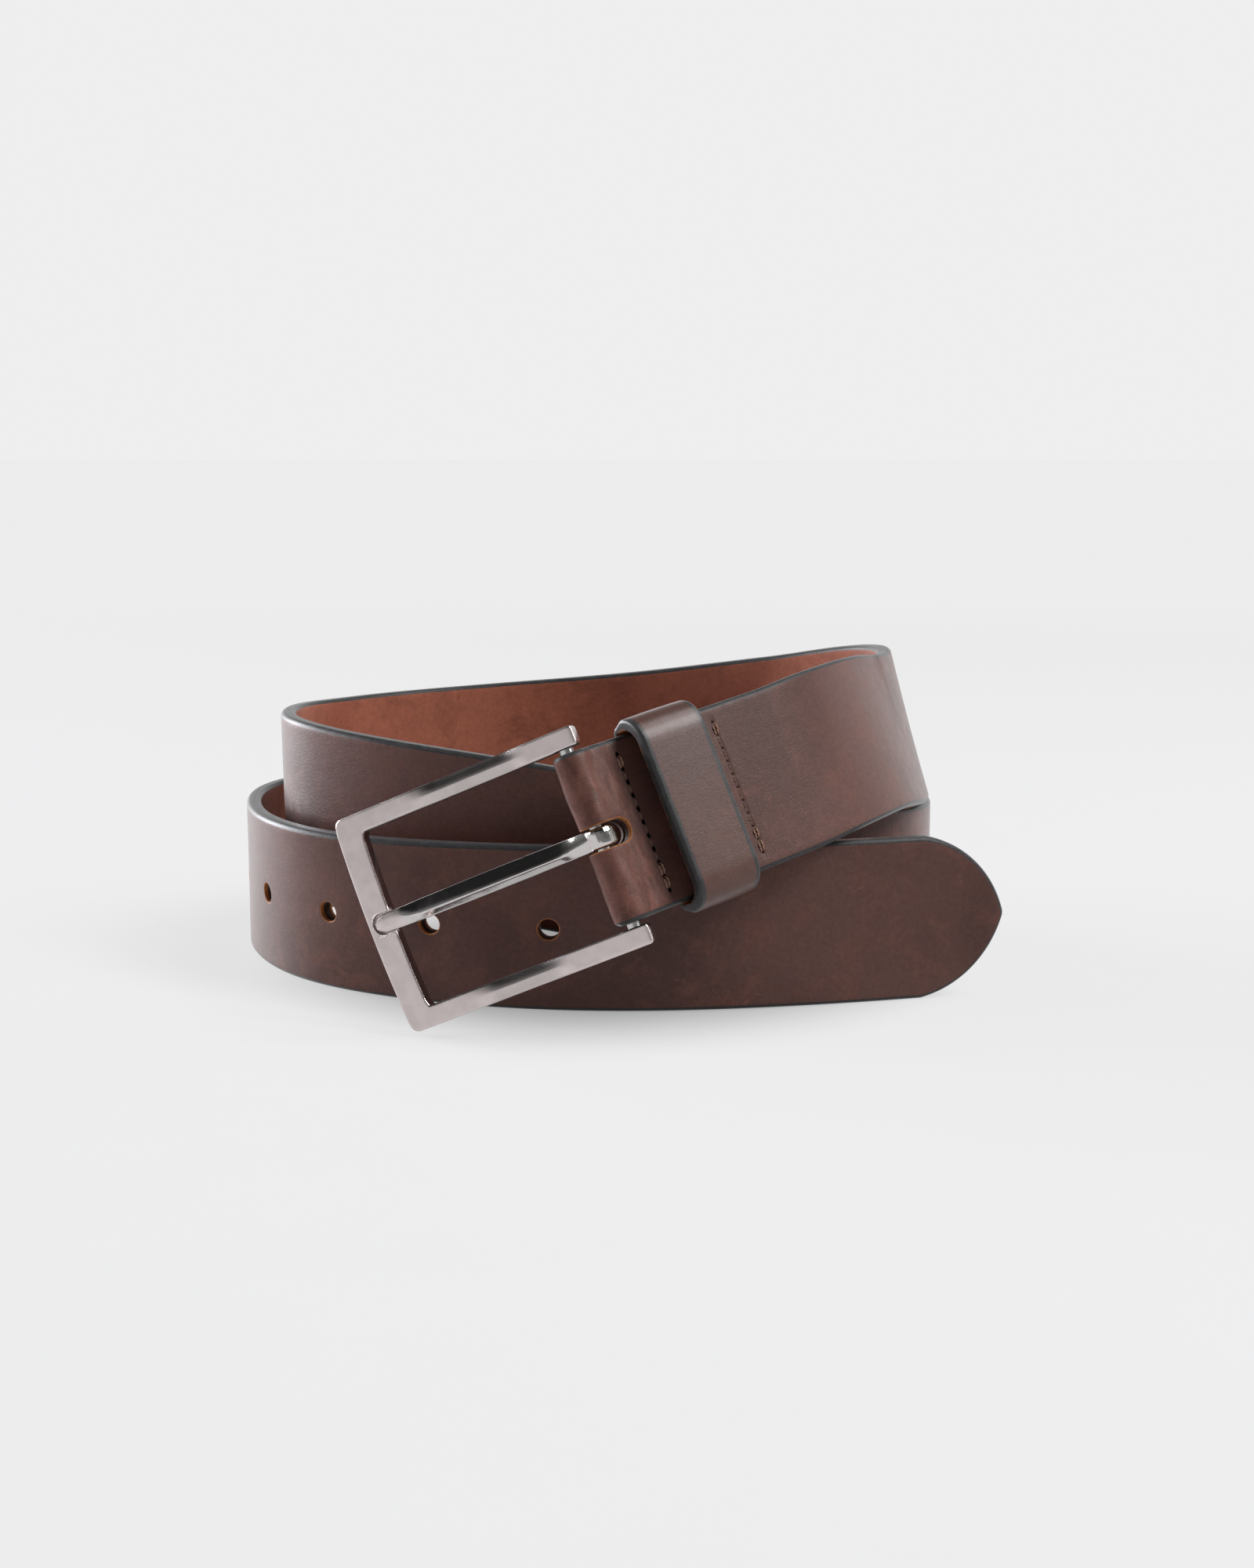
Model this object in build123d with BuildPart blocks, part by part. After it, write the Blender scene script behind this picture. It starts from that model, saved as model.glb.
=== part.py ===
from build123d import *
from math import asin, cos, radians, sin, sqrt, tan
import os

os.makedirs("parts", exist_ok=True)

# A leather dress belt that stands on its edge, coiled in two and a quarter turns, buckle in front.
# X runs to the right along the front, Y to the back and Z up.
# The origin is on the ground, under the middle of the belt's box.

# Strap: grain leather outside and a thinner lining inside; facet is the spacing of the coil's sections
STRAP_WIDTH = 35.0
HALF_WIDTH = STRAP_WIDTH / 2
GRAIN = 1.9
LINING = 1.45
GLUE = 0.05
STRAP_LENGTH = 943.0
FACET = 9.5
THROUGH = 12.0

# Belt holes, by their distance from the buckle bar, and the rounded point
HOLE_RADIUS = 2.2
HOLE_PITCH = 25.0
HOLE_COUNT = 5
FIRST_HOLE = 745.0
POINT_LENGTH = 19.0
POINT_WAIST = (5.2, 9.7)
POINT_BLUNT = 3.0

# Buckle: the frame's size, the bar in its open end, and how far it is folded in from the strap's line
FRAME_BACK = 3.0
FRAME_FRONT = 50.2
FRAME_HEIGHT = 45.0
FRAME_THICKNESS = 3.3
FRAME_BOW = 0.8
FRONT_BAR = 5.4
RAIL = 4.1
FRAME_CORNER = 1.8
FRAME_END_CORNER = 0.9
FRAME_SOFTENING = 0.45
FRAME_FOLD = 48.0
BAR_RADIUS = 1.4
SPIGOT_RADIUS = 1.05
SPIGOT_LENGTH = 2.6
RUNNING_GAP = 0.06

# Prong: eye, shank and the notch that its tip rests in
PRONG_WIDTH = 4.3
EYE_RADIUS = 3.6
PRONG_LENGTH = 49.6
NOTCH_DEPTH = 1.25
NOTCH_END = 50.0
NOTCH_WIDTH = 4.5

# Fold round the bar, with the tab that comes back behind the strap
FOLD_GAP = 0.08
JOIN = 8.0
TAB = 1.3
TAB_END = 38.5
LINING_START = 38.6
SLOT_START = -8.0
SLOT_END = 6.5
SLOT_WIDTH = 4.9
SLOT_REACH = 5.5

# Keeper: a band of leather round the front layer, its back run inside the fold
KEEPER_WIDTH = 15.5
KEEPER_CENTRE = 19.9
KEEPER_FRONT = 2.2
KEEPER_BACK = 1.4
KEEPER_ROOM = 4.0
KEEPER_SIDE_GAP = 0.5
KEEPER_BACK_GAP = 0.1
KEEPER_CORNER = 4.5
KEEPER_REAR_CORNER = 0.8
KEEPER_SEAM = 0.05
POCKET_START = 11.4
POCKET_END = 31.3
POCKET_DEPTH = 1.9
POCKET_RAMP = 1.4

# Staples that close the keeper's ends
STAPLE_SPAN = 8.0
STAPLE_WIRE = 0.3
STAPLE_LEG = 1.1
STAPLE_SPACING = 8.0

# Stitch rows, each side of the keeper
ROW_1 = 9.4
ROW_2 = 33.5
STITCH = 2.8
STITCH_COUNT = 10
THREAD_RADIUS = 0.3
LEG_RADIUS = 0.25
NEEDLE_HOLE_RADIUS = 0.36
NEEDLE_DEPTH = 4.0

# The strap's route from the buckle to the point, followed along its lower edge.
# Each row: distance from the bar, heading, height of the lower edge, lean of the upper edge in toward the coil.
ROUTE = [
    (46, 36, 34.0, 21),
    (60, 49, 36.8, 23),
    (74, 59.5, 38.2, 24),
    (86, 67.5, 38.2, 23),
    (98, 75, 36.9, 20),
    (112, 85, 36.0, 16.6),
    (128, 103, 35.8, 13),
    (146, 125, 34.1, 10),
    (171, 146, 30.0, 7),
    (211, 173, 24.5, 4),
    (251, 197, 21.5, 1),
    (291, 232, 20.5, 0),
    (321, 271, 21.0, -1),
    (351, 313, 20.0, -1),
    (391, 344, 16.5, -1),
    (431, 368, 10.0, 0),
    (466, 389, 4.5, 0),
    (496, 416, 0.5, 0),
    (526, 457, 0.0, 0),
    (556, 496, 0.0, 0),
    (596, 523, 0.0, 0),
    (636, 539, 0.0, 0),
    (676, 561, 0.0, 0),
    (711, 605, 0.0, 0),
    (741, 639, 0.0, 0),
    (771, 660, 0.0, -4),
    (801, 686, 0.0, -7),
    (836, 707, 0.0, -4),
    (871, 725, 0.0, -2),
    (911, 735, 0.0, -2),
    (943, 740, 0.0, -1),
]
HEADING = 1
HEIGHT = 2
LEAN = 3
FLAT_LENGTH = ROUTE[0][0]
BAR_X = -0.6
BAR_Y = -73.0
WALK = 1.0


def row_rate(column, i):
    """Rate of change of a route column at row i, from the rows on either side."""
    before = ROUTE[max(i - 1, 0)]
    after = ROUTE[min(i + 1, len(ROUTE) - 1)]
    return (after[column] - before[column]) / (after[0] - before[0])


def eased(column, distance):
    """A route column at a distance from the bar, passing smoothly through every row."""
    i = 0
    while i < len(ROUTE) - 2 and ROUTE[i + 1][0] < distance:
        i += 1
    span = ROUTE[i + 1][0] - ROUTE[i][0]
    q = (distance - ROUTE[i][0]) / span
    from_start = (1 + 2 * q) * (1 - q) ** 2 * ROUTE[i][column]
    from_end = q * q * (3 - 2 * q) * ROUTE[i + 1][column]
    bend = q * (1 - q) ** 2 * span * row_rate(column, i)
    return from_start + from_end + bend + q * q * (q - 1) * span * row_rate(column, i + 1)


def strap_axes(heading, climb, lean):
    """Directions along the strap, in toward the coil and up its width."""
    run = sqrt(1 - climb * climb)
    along = Vector(run * cos(radians(heading)), run * sin(radians(heading)), climb)
    upright = (Vector(0, 0, 1) - along * climb).normalized()
    inward = upright.cross(along)
    up = upright * cos(radians(lean)) + inward * sin(radians(lean))
    return along, up.cross(along), up


# The flat stretch at the buckle, in its own axes: x along the strap, y inward, z up the width
END_CLIMB = row_rate(HEIGHT, 0)
END_ALONG, END_INWARD, END_UP = strap_axes(ROUTE[0][HEADING], END_CLIMB, ROUTE[0][LEAN])
BAR_Z = ROUTE[0][HEIGHT] - END_CLIMB * FLAT_LENGTH + END_UP.Z * HALF_WIDTH
BAR_CENTRE = Vector(BAR_X, BAR_Y, BAR_Z)
END = Plane(origin=BAR_CENTRE, x_dir=END_ALONG, z_dir=END_UP)
FLAT_STOP = BAR_CENTRE + END_ALONG * FLAT_LENGTH - END_UP * HALF_WIDTH


def station(distance):
    """Middle of the glue line at a distance from the bar, with the directions of the strap there."""
    if distance <= FLAT_LENGTH:
        return BAR_CENTRE + END_ALONG * distance, END_ALONG, END_INWARD, END_UP
    x = FLAT_STOP.X
    y = FLAT_STOP.Y
    steps = round((distance - FLAT_LENGTH) / WALK) + 1
    step = (distance - FLAT_LENGTH) / steps
    for k in range(steps):
        middle = FLAT_LENGTH + (k + 0.5) * step
        climb = (eased(HEIGHT, middle + step / 2) - eased(HEIGHT, middle - step / 2)) / step
        heading = radians(eased(HEADING, middle))
        x += sqrt(1 - climb * climb) * cos(heading) * step
        y += sqrt(1 - climb * climb) * sin(heading) * step
    lean = eased(LEAN, distance)
    lift = max(0, GRAIN * sin(radians(-lean)))
    along, inward, up = strap_axes(eased(HEADING, distance), climb, lean)
    return Vector(x, y, eased(HEIGHT, distance) + lift) + up * HALF_WIDTH, along, inward, up


def section_plane(distance):
    """Plane across the strap: local x points in toward the coil, local y up the width."""
    middle, along, inward, up = station(distance)
    return Plane(origin=middle, x_dir=inward, z_dir=along)


def face_plane(distance):
    """Plane on the glue line that faces out: local x points along the strap, local y up the width."""
    middle, along, inward, up = station(distance)
    return Plane(origin=middle, x_dir=along, z_dir=inward * -1)


def coil_distances(start):
    """Distances of the sections that a layer of the coil is built on."""
    count = round((STRAP_LENGTH - FLAT_LENGTH) / FACET)
    coil = [FLAT_LENGTH + (STRAP_LENGTH - FLAT_LENGTH) * k / count for k in range(count + 1)]
    if start < FLAT_LENGTH:
        return [start] + coil
    return coil


def layer_sections(start, face, back):
    """Sections of one layer, whose faces lie at two depths measured in toward the coil."""
    sections = []
    for distance in coil_distances(start):
        with BuildSketch(section_plane(distance)) as section:
            with Locations(((face + back) / 2, 0)):
                Rectangle(back - face, STRAP_WIDTH)
        sections.append(section.sketch)
    return sections


def cut_belt_holes():
    for k in range(HOLE_COUNT):
        with Locations(face_plane(FIRST_HOLE + k * HOLE_PITCH)):
            Cylinder(HOLE_RADIUS, THROUGH, mode=Mode.SUBTRACT)


def cut_point():
    """Trims the two corners off the free end, to the curves that meet in a blunt point."""
    waist_x, waist_y = POINT_WAIST
    with BuildSketch(face_plane(STRAP_LENGTH)) as corners:
        Rectangle(2 * POINT_LENGTH, STRAP_WIDTH + THROUGH)
        with BuildLine():
            ThreePointArc((-POINT_LENGTH, HALF_WIDTH), (-waist_x, waist_y), (0, 0))
            ThreePointArc((0, 0), (-waist_x, -waist_y), (-POINT_LENGTH, -HALF_WIDTH))
            Line((-POINT_LENGTH, -HALF_WIDTH), (-POINT_LENGTH, HALF_WIDTH))
        make_face(mode=Mode.SUBTRACT)
        fillet(vertices().sort_by_distance((0, 0, 0))[0], POINT_BLUNT)
    extrude(corners.sketch, amount=THROUGH / 2, both=True, mode=Mode.SUBTRACT)


def facing(plane):
    """The same place seen from outside the coil: local x along the strap, local y up the width."""
    return Plane(origin=plane.origin, x_dir=plane.x_dir, z_dir=plane.y_dir * -1)


def fold_outline():
    """Edge view of the front layer's flat stretch, the fold round the bar and the tab behind."""
    bore = BAR_RADIUS + FOLD_GAP
    outer = bore + GRAIN
    slope = asin(bore / JOIN)
    tab_back = GLUE + TAB
    Polyline(
        (JOIN, 0),
        (FLAT_LENGTH, 0),
        (FLAT_LENGTH, -GRAIN),
        (JOIN + GRAIN * tan(slope / 2), -GRAIN),
        (outer * sin(slope), -outer * cos(slope)),
    )
    ThreePointArc(
        (outer * sin(slope), -outer * cos(slope)),
        (-outer, 0),
        (outer * sin(slope), outer * cos(slope)),
    )
    Polyline(
        (outer * sin(slope), outer * cos(slope)),
        (JOIN, tab_back),
        (POCKET_START - POCKET_RAMP, tab_back),
        (POCKET_START, POCKET_DEPTH + TAB),
        (POCKET_END, POCKET_DEPTH + TAB),
        (POCKET_END + POCKET_RAMP, tab_back),
        (TAB_END, tab_back),
        (TAB_END, GLUE),
        (POCKET_END + POCKET_RAMP, GLUE),
        (POCKET_END, POCKET_DEPTH),
        (POCKET_START, POCKET_DEPTH),
        (POCKET_START - POCKET_RAMP, GLUE),
        (JOIN, GLUE),
        (bore * sin(slope), bore * cos(slope)),
    )
    ThreePointArc(
        (bore * sin(slope), bore * cos(slope)),
        (-bore, 0),
        (bore * sin(slope), -bore * cos(slope)),
    )
    Line((bore * sin(slope), -bore * cos(slope)), (JOIN, 0))


def cut_prong_slot():
    """Slot through both sides of the fold, round at its end toward the keeper."""
    stop = SLOT_END - SLOT_WIDTH / 2
    with BuildSketch(facing(END)) as slot:
        with Locations(((SLOT_START + stop) / 2, 0)):
            Rectangle(stop - SLOT_START, SLOT_WIDTH)
        with Locations((stop, 0)):
            Circle(SLOT_WIDTH / 2)
    extrude(slot.sketch, amount=SLOT_REACH, both=True, mode=Mode.SUBTRACT)


def stitch_circles(row, radius):
    """The needle holes of a stitch row, or the thread's legs in them."""
    with Locations((row, 0)):
        with GridLocations(STITCH, STITCH, 1, STITCH_COUNT + 1):
            Circle(radius)


def cut_needle_holes():
    with BuildSketch(facing(END)) as holes:
        stitch_circles(ROW_1, NEEDLE_HOLE_RADIUS)
        stitch_circles(ROW_2, NEEDLE_HOLE_RADIUS)
    extrude(holes.sketch, amount=NEEDLE_DEPTH, both=True, mode=Mode.SUBTRACT)


# ---- strap ----

with BuildPart() as strap_outer:
    loft(layer_sections(FLAT_LENGTH, -GRAIN, 0), ruled=True)
    with BuildSketch(END.offset(-HALF_WIDTH)):
        with BuildLine():
            fold_outline()
        make_face()
    extrude(amount=STRAP_WIDTH)
    cut_prong_slot()
    cut_needle_holes()
    cut_belt_holes()
    cut_point()
strap_outer.part.label = "strap_outer"

with BuildPart() as strap_lining:
    loft(layer_sections(LINING_START, GLUE, GLUE + LINING), ruled=True)
    cut_belt_holes()
    cut_point()
strap_lining.part.label = "strap_lining"

# ---- buckle ----

FRAME_ALONG = END_ALONG * cos(radians(FRAME_FOLD)) - END_INWARD * sin(radians(FRAME_FOLD))
FRAME = Plane(origin=BAR_CENTRE, x_dir=FRAME_ALONG, z_dir=END_UP)
FRAME_TOP = FRAME_HEIGHT / 2
WINDOW_TOP = FRAME_TOP - RAIL
WINDOW_FRONT = FRAME_FRONT - FRONT_BAR


def frame_outline():
    """Front view of the frame: two rails and a slightly bowed front bar, open at the bar's end."""
    Polyline(
        (-FRAME_FRONT, FRAME_TOP),
        (FRAME_BACK, FRAME_TOP),
        (FRAME_BACK, WINDOW_TOP),
        (-WINDOW_FRONT, WINDOW_TOP),
    )
    ThreePointArc((-WINDOW_FRONT, WINDOW_TOP), (-WINDOW_FRONT - FRAME_BOW, 0), (-WINDOW_FRONT, -WINDOW_TOP))
    Polyline(
        (-WINDOW_FRONT, -WINDOW_TOP),
        (FRAME_BACK, -WINDOW_TOP),
        (FRAME_BACK, -FRAME_TOP),
        (-FRAME_FRONT, -FRAME_TOP),
    )
    ThreePointArc((-FRAME_FRONT, -FRAME_TOP), (-FRAME_FRONT - FRAME_BOW, 0), (-FRAME_FRONT, FRAME_TOP))


with BuildPart() as buckle_frame:
    with BuildSketch(facing(FRAME)):
        with BuildLine():
            frame_outline()
        make_face()
        fillet(vertices().sort_by(Axis.X)[:2], FRAME_CORNER)
        fillet(vertices().sort_by(Axis.X)[-4:], FRAME_END_CORNER)
    extrude(amount=FRAME_THICKNESS / 2, both=True)
    chamfer(faces().sort_by(Axis(BAR_CENTRE, FRAME.y_dir))[0].outer_wire().edges(), FRAME_SOFTENING)
    with BuildSketch(FRAME.offset(-WINDOW_TOP - SPIGOT_LENGTH)):
        Circle(SPIGOT_RADIUS)
    extrude(amount=2 * (WINDOW_TOP + SPIGOT_LENGTH), mode=Mode.SUBTRACT)
    with BuildSketch(facing(FRAME).offset(FRAME_THICKNESS / 2)):
        with Locations((-NOTCH_END + NOTCH_WIDTH / 2, 0)):
            Circle(NOTCH_WIDTH / 2)
        with Locations((-NOTCH_END + (NOTCH_WIDTH + FRONT_BAR) / 2, 0)):
            Rectangle(FRONT_BAR, NOTCH_WIDTH)
    extrude(amount=-NOTCH_DEPTH, mode=Mode.SUBTRACT)
buckle_frame.part.label = "buckle_frame"

with BuildPart() as buckle_bar:
    with BuildSketch(FRAME.offset(-WINDOW_TOP)):
        Circle(BAR_RADIUS)
    extrude(amount=2 * WINDOW_TOP)
    with BuildSketch(FRAME.offset(-WINDOW_TOP - SPIGOT_LENGTH)):
        Circle(SPIGOT_RADIUS)
    extrude(amount=2 * (WINDOW_TOP + SPIGOT_LENGTH))
buckle_bar.part.label = "buckle_bar"

# Sections of the prong's shank: distance from the bar, half width, ridge, shoulder and underside, measured outward
SHANK = [
    (1.9, 2.15, 3.2, 2.3, -1.9),
    (12.0, 2.05, 2.3, 1.0, -1.1),
    (42.0, 1.95, 1.75, 0.5, -0.3),
    (45.3, 1.95, 1.65, 0.9, 0.45),
    (48.2, 1.85, 1.6, 1.0, 0.45),
    (PRONG_LENGTH, 1.0, 1.5, 1.0, 0.5),
]

with BuildPart() as prong:
    for distance, half, ridge, shoulder, underside in SHANK:
        place = BAR_CENTRE - FRAME_ALONG * distance
        with BuildSketch(Plane(origin=place, x_dir=FRAME.z_dir, z_dir=FRAME_ALONG)):
            with BuildLine():
                Polyline(
                    (-half, underside),
                    (half, underside),
                    (half, shoulder),
                    (0, ridge),
                    (-half, shoulder),
                    close=True,
                )
            make_face()
    loft(ruled=True)
    with BuildSketch(FRAME.offset(-PRONG_WIDTH / 2)):
        Circle(EYE_RADIUS)
    extrude(amount=PRONG_WIDTH)
    with BuildSketch(FRAME.offset(-PRONG_WIDTH)):
        Circle(BAR_RADIUS + RUNNING_GAP)
    extrude(amount=2 * PRONG_WIDTH, mode=Mode.SUBTRACT)
prong.part.label = "prong"

# ---- keeper ----

KEEPER_START = KEEPER_CENTRE - KEEPER_WIDTH / 2
ROOM_FRONT = -GRAIN - KEEPER_ROOM
FACE = ROOM_FRONT - KEEPER_FRONT
ROOM_TOP = HALF_WIDTH + KEEPER_SIDE_GAP
KEEPER_REAR = KEEPER_BACK_GAP + KEEPER_BACK


def staple_wires():
    """Edge view of a staple: its crown behind the keeper and its two legs into it."""
    with Locations((KEEPER_REAR + STAPLE_WIRE / 2, 0)):
        Rectangle(STAPLE_WIRE, STAPLE_SPAN)
    with Locations((KEEPER_REAR - STAPLE_LEG / 2, 0)):
        with GridLocations(STAPLE_LEG, STAPLE_SPAN - STAPLE_WIRE, 1, 2):
            Rectangle(STAPLE_LEG, STAPLE_WIRE)


def staples(mode):
    """Two staples side by side, as solids or as the cuts that they sit in."""
    for side in (-1, 1):
        with BuildSketch(section_plane(KEEPER_CENTRE + side * STAPLE_SPACING / 2)) as wires:
            staple_wires()
        extrude(wires.sketch, amount=STAPLE_WIRE, both=True, mode=mode)


with BuildPart() as keeper:
    with BuildSketch(section_plane(KEEPER_START)):
        with Locations(((FACE + KEEPER_REAR) / 2, 0)):
            Rectangle(KEEPER_REAR - FACE, 2 * (ROOM_TOP + KEEPER_FRONT))
        fillet(vertices().sort_by(Axis.X)[:2], KEEPER_CORNER)
        fillet(vertices().sort_by(Axis.X)[-2:], KEEPER_REAR_CORNER)
        with Locations(((ROOM_FRONT + KEEPER_BACK_GAP) / 2, 0)):
            Rectangle(KEEPER_BACK_GAP - ROOM_FRONT, 2 * ROOM_TOP, mode=Mode.SUBTRACT)
        inner_front = vertices().filter_by_position(Axis.X, ROOM_FRONT - GLUE, ROOM_FRONT + GLUE)
        fillet(inner_front, KEEPER_CORNER - KEEPER_FRONT)
        with Locations((KEEPER_REAR, 0)):
            Rectangle(THROUGH / 2, KEEPER_SEAM, mode=Mode.SUBTRACT)
    extrude(amount=KEEPER_WIDTH)
    staples(Mode.SUBTRACT)
keeper.part.label = "keeper"

with BuildPart() as keeper_staples:
    staples(Mode.ADD)
keeper_staples.part.label = "keeper_staples"

# ---- stitching ----


def thread(row, surface, knot):
    """One thread of a row: the run on the leather's surface and its legs down to the knots inside."""
    with BuildSketch(END.offset(-STITCH_COUNT * STITCH / 2)) as run:
        with Locations((row, surface)):
            Circle(THREAD_RADIUS)
    extrude(run.sketch, amount=STITCH_COUNT * STITCH)
    with BuildSketch(facing(END).offset(-surface)) as legs:
        stitch_circles(row, LEG_RADIUS)
    extrude(legs.sketch, amount=surface - knot)


THREADS = [
    ("row_1_needle_thread", ROW_1, -GRAIN - THREAD_RADIUS, -GLUE),
    ("row_1_bobbin_thread", ROW_1, GLUE + TAB + THREAD_RADIUS, GLUE),
    ("row_2_needle_thread", ROW_2, -GRAIN - THREAD_RADIUS, -GLUE),
    ("row_2_bobbin_thread", ROW_2, GLUE + TAB + THREAD_RADIUS, GLUE),
]
threads = []
for name, row, surface, knot in THREADS:
    with BuildPart() as stitches:
        thread(row, surface, knot)
    stitches.part.label = name
    threads.append(stitches)

for piece in [strap_outer, strap_lining, buckle_frame, buckle_bar, prong, keeper, keeper_staples] + threads:
    export_step(piece.part, f"parts/{piece.part.label}.step")
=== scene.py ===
import math

import bmesh
import bpy
import numpy as np
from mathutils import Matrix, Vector, noise
from mathutils.geometry import delaunay_2d_cdt
from mathutils.kdtree import KDTree


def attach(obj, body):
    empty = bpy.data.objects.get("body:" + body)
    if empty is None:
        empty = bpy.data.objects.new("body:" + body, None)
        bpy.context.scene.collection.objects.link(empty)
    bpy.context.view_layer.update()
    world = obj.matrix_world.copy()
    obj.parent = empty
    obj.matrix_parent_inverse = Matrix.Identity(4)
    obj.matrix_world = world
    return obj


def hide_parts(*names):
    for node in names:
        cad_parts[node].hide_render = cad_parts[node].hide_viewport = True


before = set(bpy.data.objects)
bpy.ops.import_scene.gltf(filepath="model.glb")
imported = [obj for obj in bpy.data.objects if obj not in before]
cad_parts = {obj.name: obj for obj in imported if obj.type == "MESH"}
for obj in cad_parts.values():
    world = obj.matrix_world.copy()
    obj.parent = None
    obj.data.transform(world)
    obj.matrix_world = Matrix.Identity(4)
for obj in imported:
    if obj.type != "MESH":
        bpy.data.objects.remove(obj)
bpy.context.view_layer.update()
MM = 0.001

# -------------------- the strap's route, in millimetres
STRAP_WIDTH = 35.0
HALF_WIDTH = STRAP_WIDTH / 2
GRAIN = 1.9
LINING = 1.45
GLUE = 0.05
STRAP_LENGTH = 943.0
# each row: distance from the bar, heading, height of the lower edge, lean of the upper edge toward the coil
ROUTE = [
    (46, 36, 34.0, 21), (60, 49, 36.8, 23), (74, 59.5, 38.2, 24), (86, 67.5, 38.2, 23), (98, 75, 36.9, 20),
    (112, 85, 36.0, 16.6), (128, 103, 35.8, 13), (146, 125, 34.1, 10),
    (171, 146, 30.0, 7), (211, 173, 24.5, 4), (251, 197, 21.5, 1), (291, 232, 20.5, 0), (321, 271, 21.0, -1),
    (351, 313, 20.0, -1), (391, 344, 16.5, -1), (431, 368, 10.0, 0), (466, 389, 4.5, 0), (496, 416, 0.5, 0),
    (526, 457, 0.0, 0), (556, 496, 0.0, 0), (596, 523, 0.0, 0), (636, 539, 0.0, 0), (676, 561, 0.0, 0),
    (711, 605, 0.0, 0), (741, 639, 0.0, 0), (771, 660, 0.0, -4), (801, 686, 0.0, -7), (836, 707, 0.0, -4),
    (871, 725, 0.0, -2), (911, 735, 0.0, -2), (943, 740, 0.0, -1),
]
HEADING, HEIGHT, LEAN = 1, 2, 3
FLAT_LENGTH = ROUTE[0][0]
BAR_X, BAR_Y = -0.6, -73.0


def row_rate(column, i):
    before, after = ROUTE[max(i - 1, 0)], ROUTE[min(i + 1, len(ROUTE) - 1)]
    return (after[column] - before[column]) / (after[0] - before[0])


def eased(column, distance):
    """A route column at a distance from the bar, passing smoothly through every row."""
    i = 0
    while i < len(ROUTE) - 2 and ROUTE[i + 1][0] < distance:
        i += 1
    span = ROUTE[i + 1][0] - ROUTE[i][0]
    q = (distance - ROUTE[i][0]) / span
    ends = (1 + 2 * q) * (1 - q) ** 2 * ROUTE[i][column] + q * q * (3 - 2 * q) * ROUTE[i + 1][column]
    bends = q * (1 - q) ** 2 * row_rate(column, i) + q * q * (q - 1) * row_rate(column, i + 1)
    return ends + bends * span


def strap_axes(heading, climb, lean):
    """Directions along the strap, in toward the coil and up its width."""
    run = math.sqrt(1 - climb * climb)
    along = np.array([run * math.cos(math.radians(heading)), run * math.sin(math.radians(heading)), climb])
    upright = np.array([0, 0, 1.0]) - along * climb
    upright /= np.linalg.norm(upright)
    inward = np.cross(upright, along)
    up = upright * math.cos(math.radians(lean)) + inward * math.sin(math.radians(lean))
    return along, np.cross(up, along), up


END_CLIMB = row_rate(HEIGHT, 0)
END_ALONG, END_INWARD, END_UP = strap_axes(ROUTE[0][HEADING], END_CLIMB, ROUTE[0][LEAN])
BAR = np.array([BAR_X, BAR_Y, ROUTE[0][HEIGHT] - END_CLIMB * FLAT_LENGTH + END_UP[2] * HALF_WIDTH])


def walk_route(step=0.5):
    """Middle line and axes of the strap at every step from the end of the flat stretch to the point."""
    x, y, _ = BAR + END_ALONG * FLAT_LENGTH - END_UP * HALF_WIDTH
    rows = []
    count = round((STRAP_LENGTH - FLAT_LENGTH) / step)
    for k in range(count + 1):
        distance = FLAT_LENGTH + k * step
        low, high = max(distance - 0.5, FLAT_LENGTH), min(distance + 0.5, STRAP_LENGTH)
        climb = (eased(HEIGHT, high) - eased(HEIGHT, low)) / (high - low)
        lean = eased(LEAN, distance)
        along, inward, up = strap_axes(eased(HEADING, distance), climb, lean)
        lift = max(0, GRAIN * math.sin(math.radians(-lean)))
        middle = np.array([x, y, eased(HEIGHT, distance) + lift]) + up * HALF_WIDTH
        rows.append(np.concatenate([[distance], middle, along, inward, up]))
        heading = math.radians(eased(HEADING, distance + step / 2))
        x += math.sqrt(1 - climb * climb) * math.cos(heading) * step
        y += math.sqrt(1 - climb * climb) * math.sin(heading) * step
    return np.array(rows)


WALK = walk_route()


def stations(distances):
    """Middle, along, inward and up at many distances from the bar, as arrays."""
    d = np.asarray(distances, float)
    flat = np.minimum(d, FLAT_LENGTH)
    columns = [np.interp(d, WALK[:, 0], WALK[:, k]) for k in range(1, 13)]
    out = np.stack(columns, 1).reshape(-1, 4, 3)
    out[:, 0] += (flat - FLAT_LENGTH)[:, None] * END_ALONG
    return out[:, 0], out[:, 1], out[:, 2], out[:, 3]


# -------------------- mesh helpers
def new_mesh(name, points, faces, values=None, sharp=35):
    """A smooth-shaded object from points in millimetres, with one float attribute per entry of values."""
    mesh = bpy.data.meshes.new(name)
    mesh.from_pydata([tuple(p) for p in np.asarray(points) * MM], [], faces)
    mesh.validate()
    for key, data in (values or {}).items():
        data = np.asarray(data, np.float32)
        if data.ndim == 2:
            mesh.attributes.new(key, "FLOAT_VECTOR", "POINT").data.foreach_set("vector", data.ravel())
        else:
            mesh.attributes.new(key, "FLOAT", "POINT").data.foreach_set("value", data)
    mesh.polygons.foreach_set("use_smooth", [True] * len(mesh.polygons))
    mesh.set_sharp_from_angle(angle=math.radians(sharp))
    obj = bpy.data.objects.new(name, mesh)
    bpy.context.scene.collection.objects.link(obj)
    return obj


def tidy_normals(obj, sharp=40):
    """Turns every face outward and marks the edges sharper than an angle in degrees."""
    bm = bmesh.new()
    bm.from_mesh(obj.data)
    bmesh.ops.recalc_face_normals(bm, faces=bm.faces)
    bm.to_mesh(obj.data)
    bm.free()
    obj.data.set_sharp_from_angle(angle=math.radians(sharp))


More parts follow.
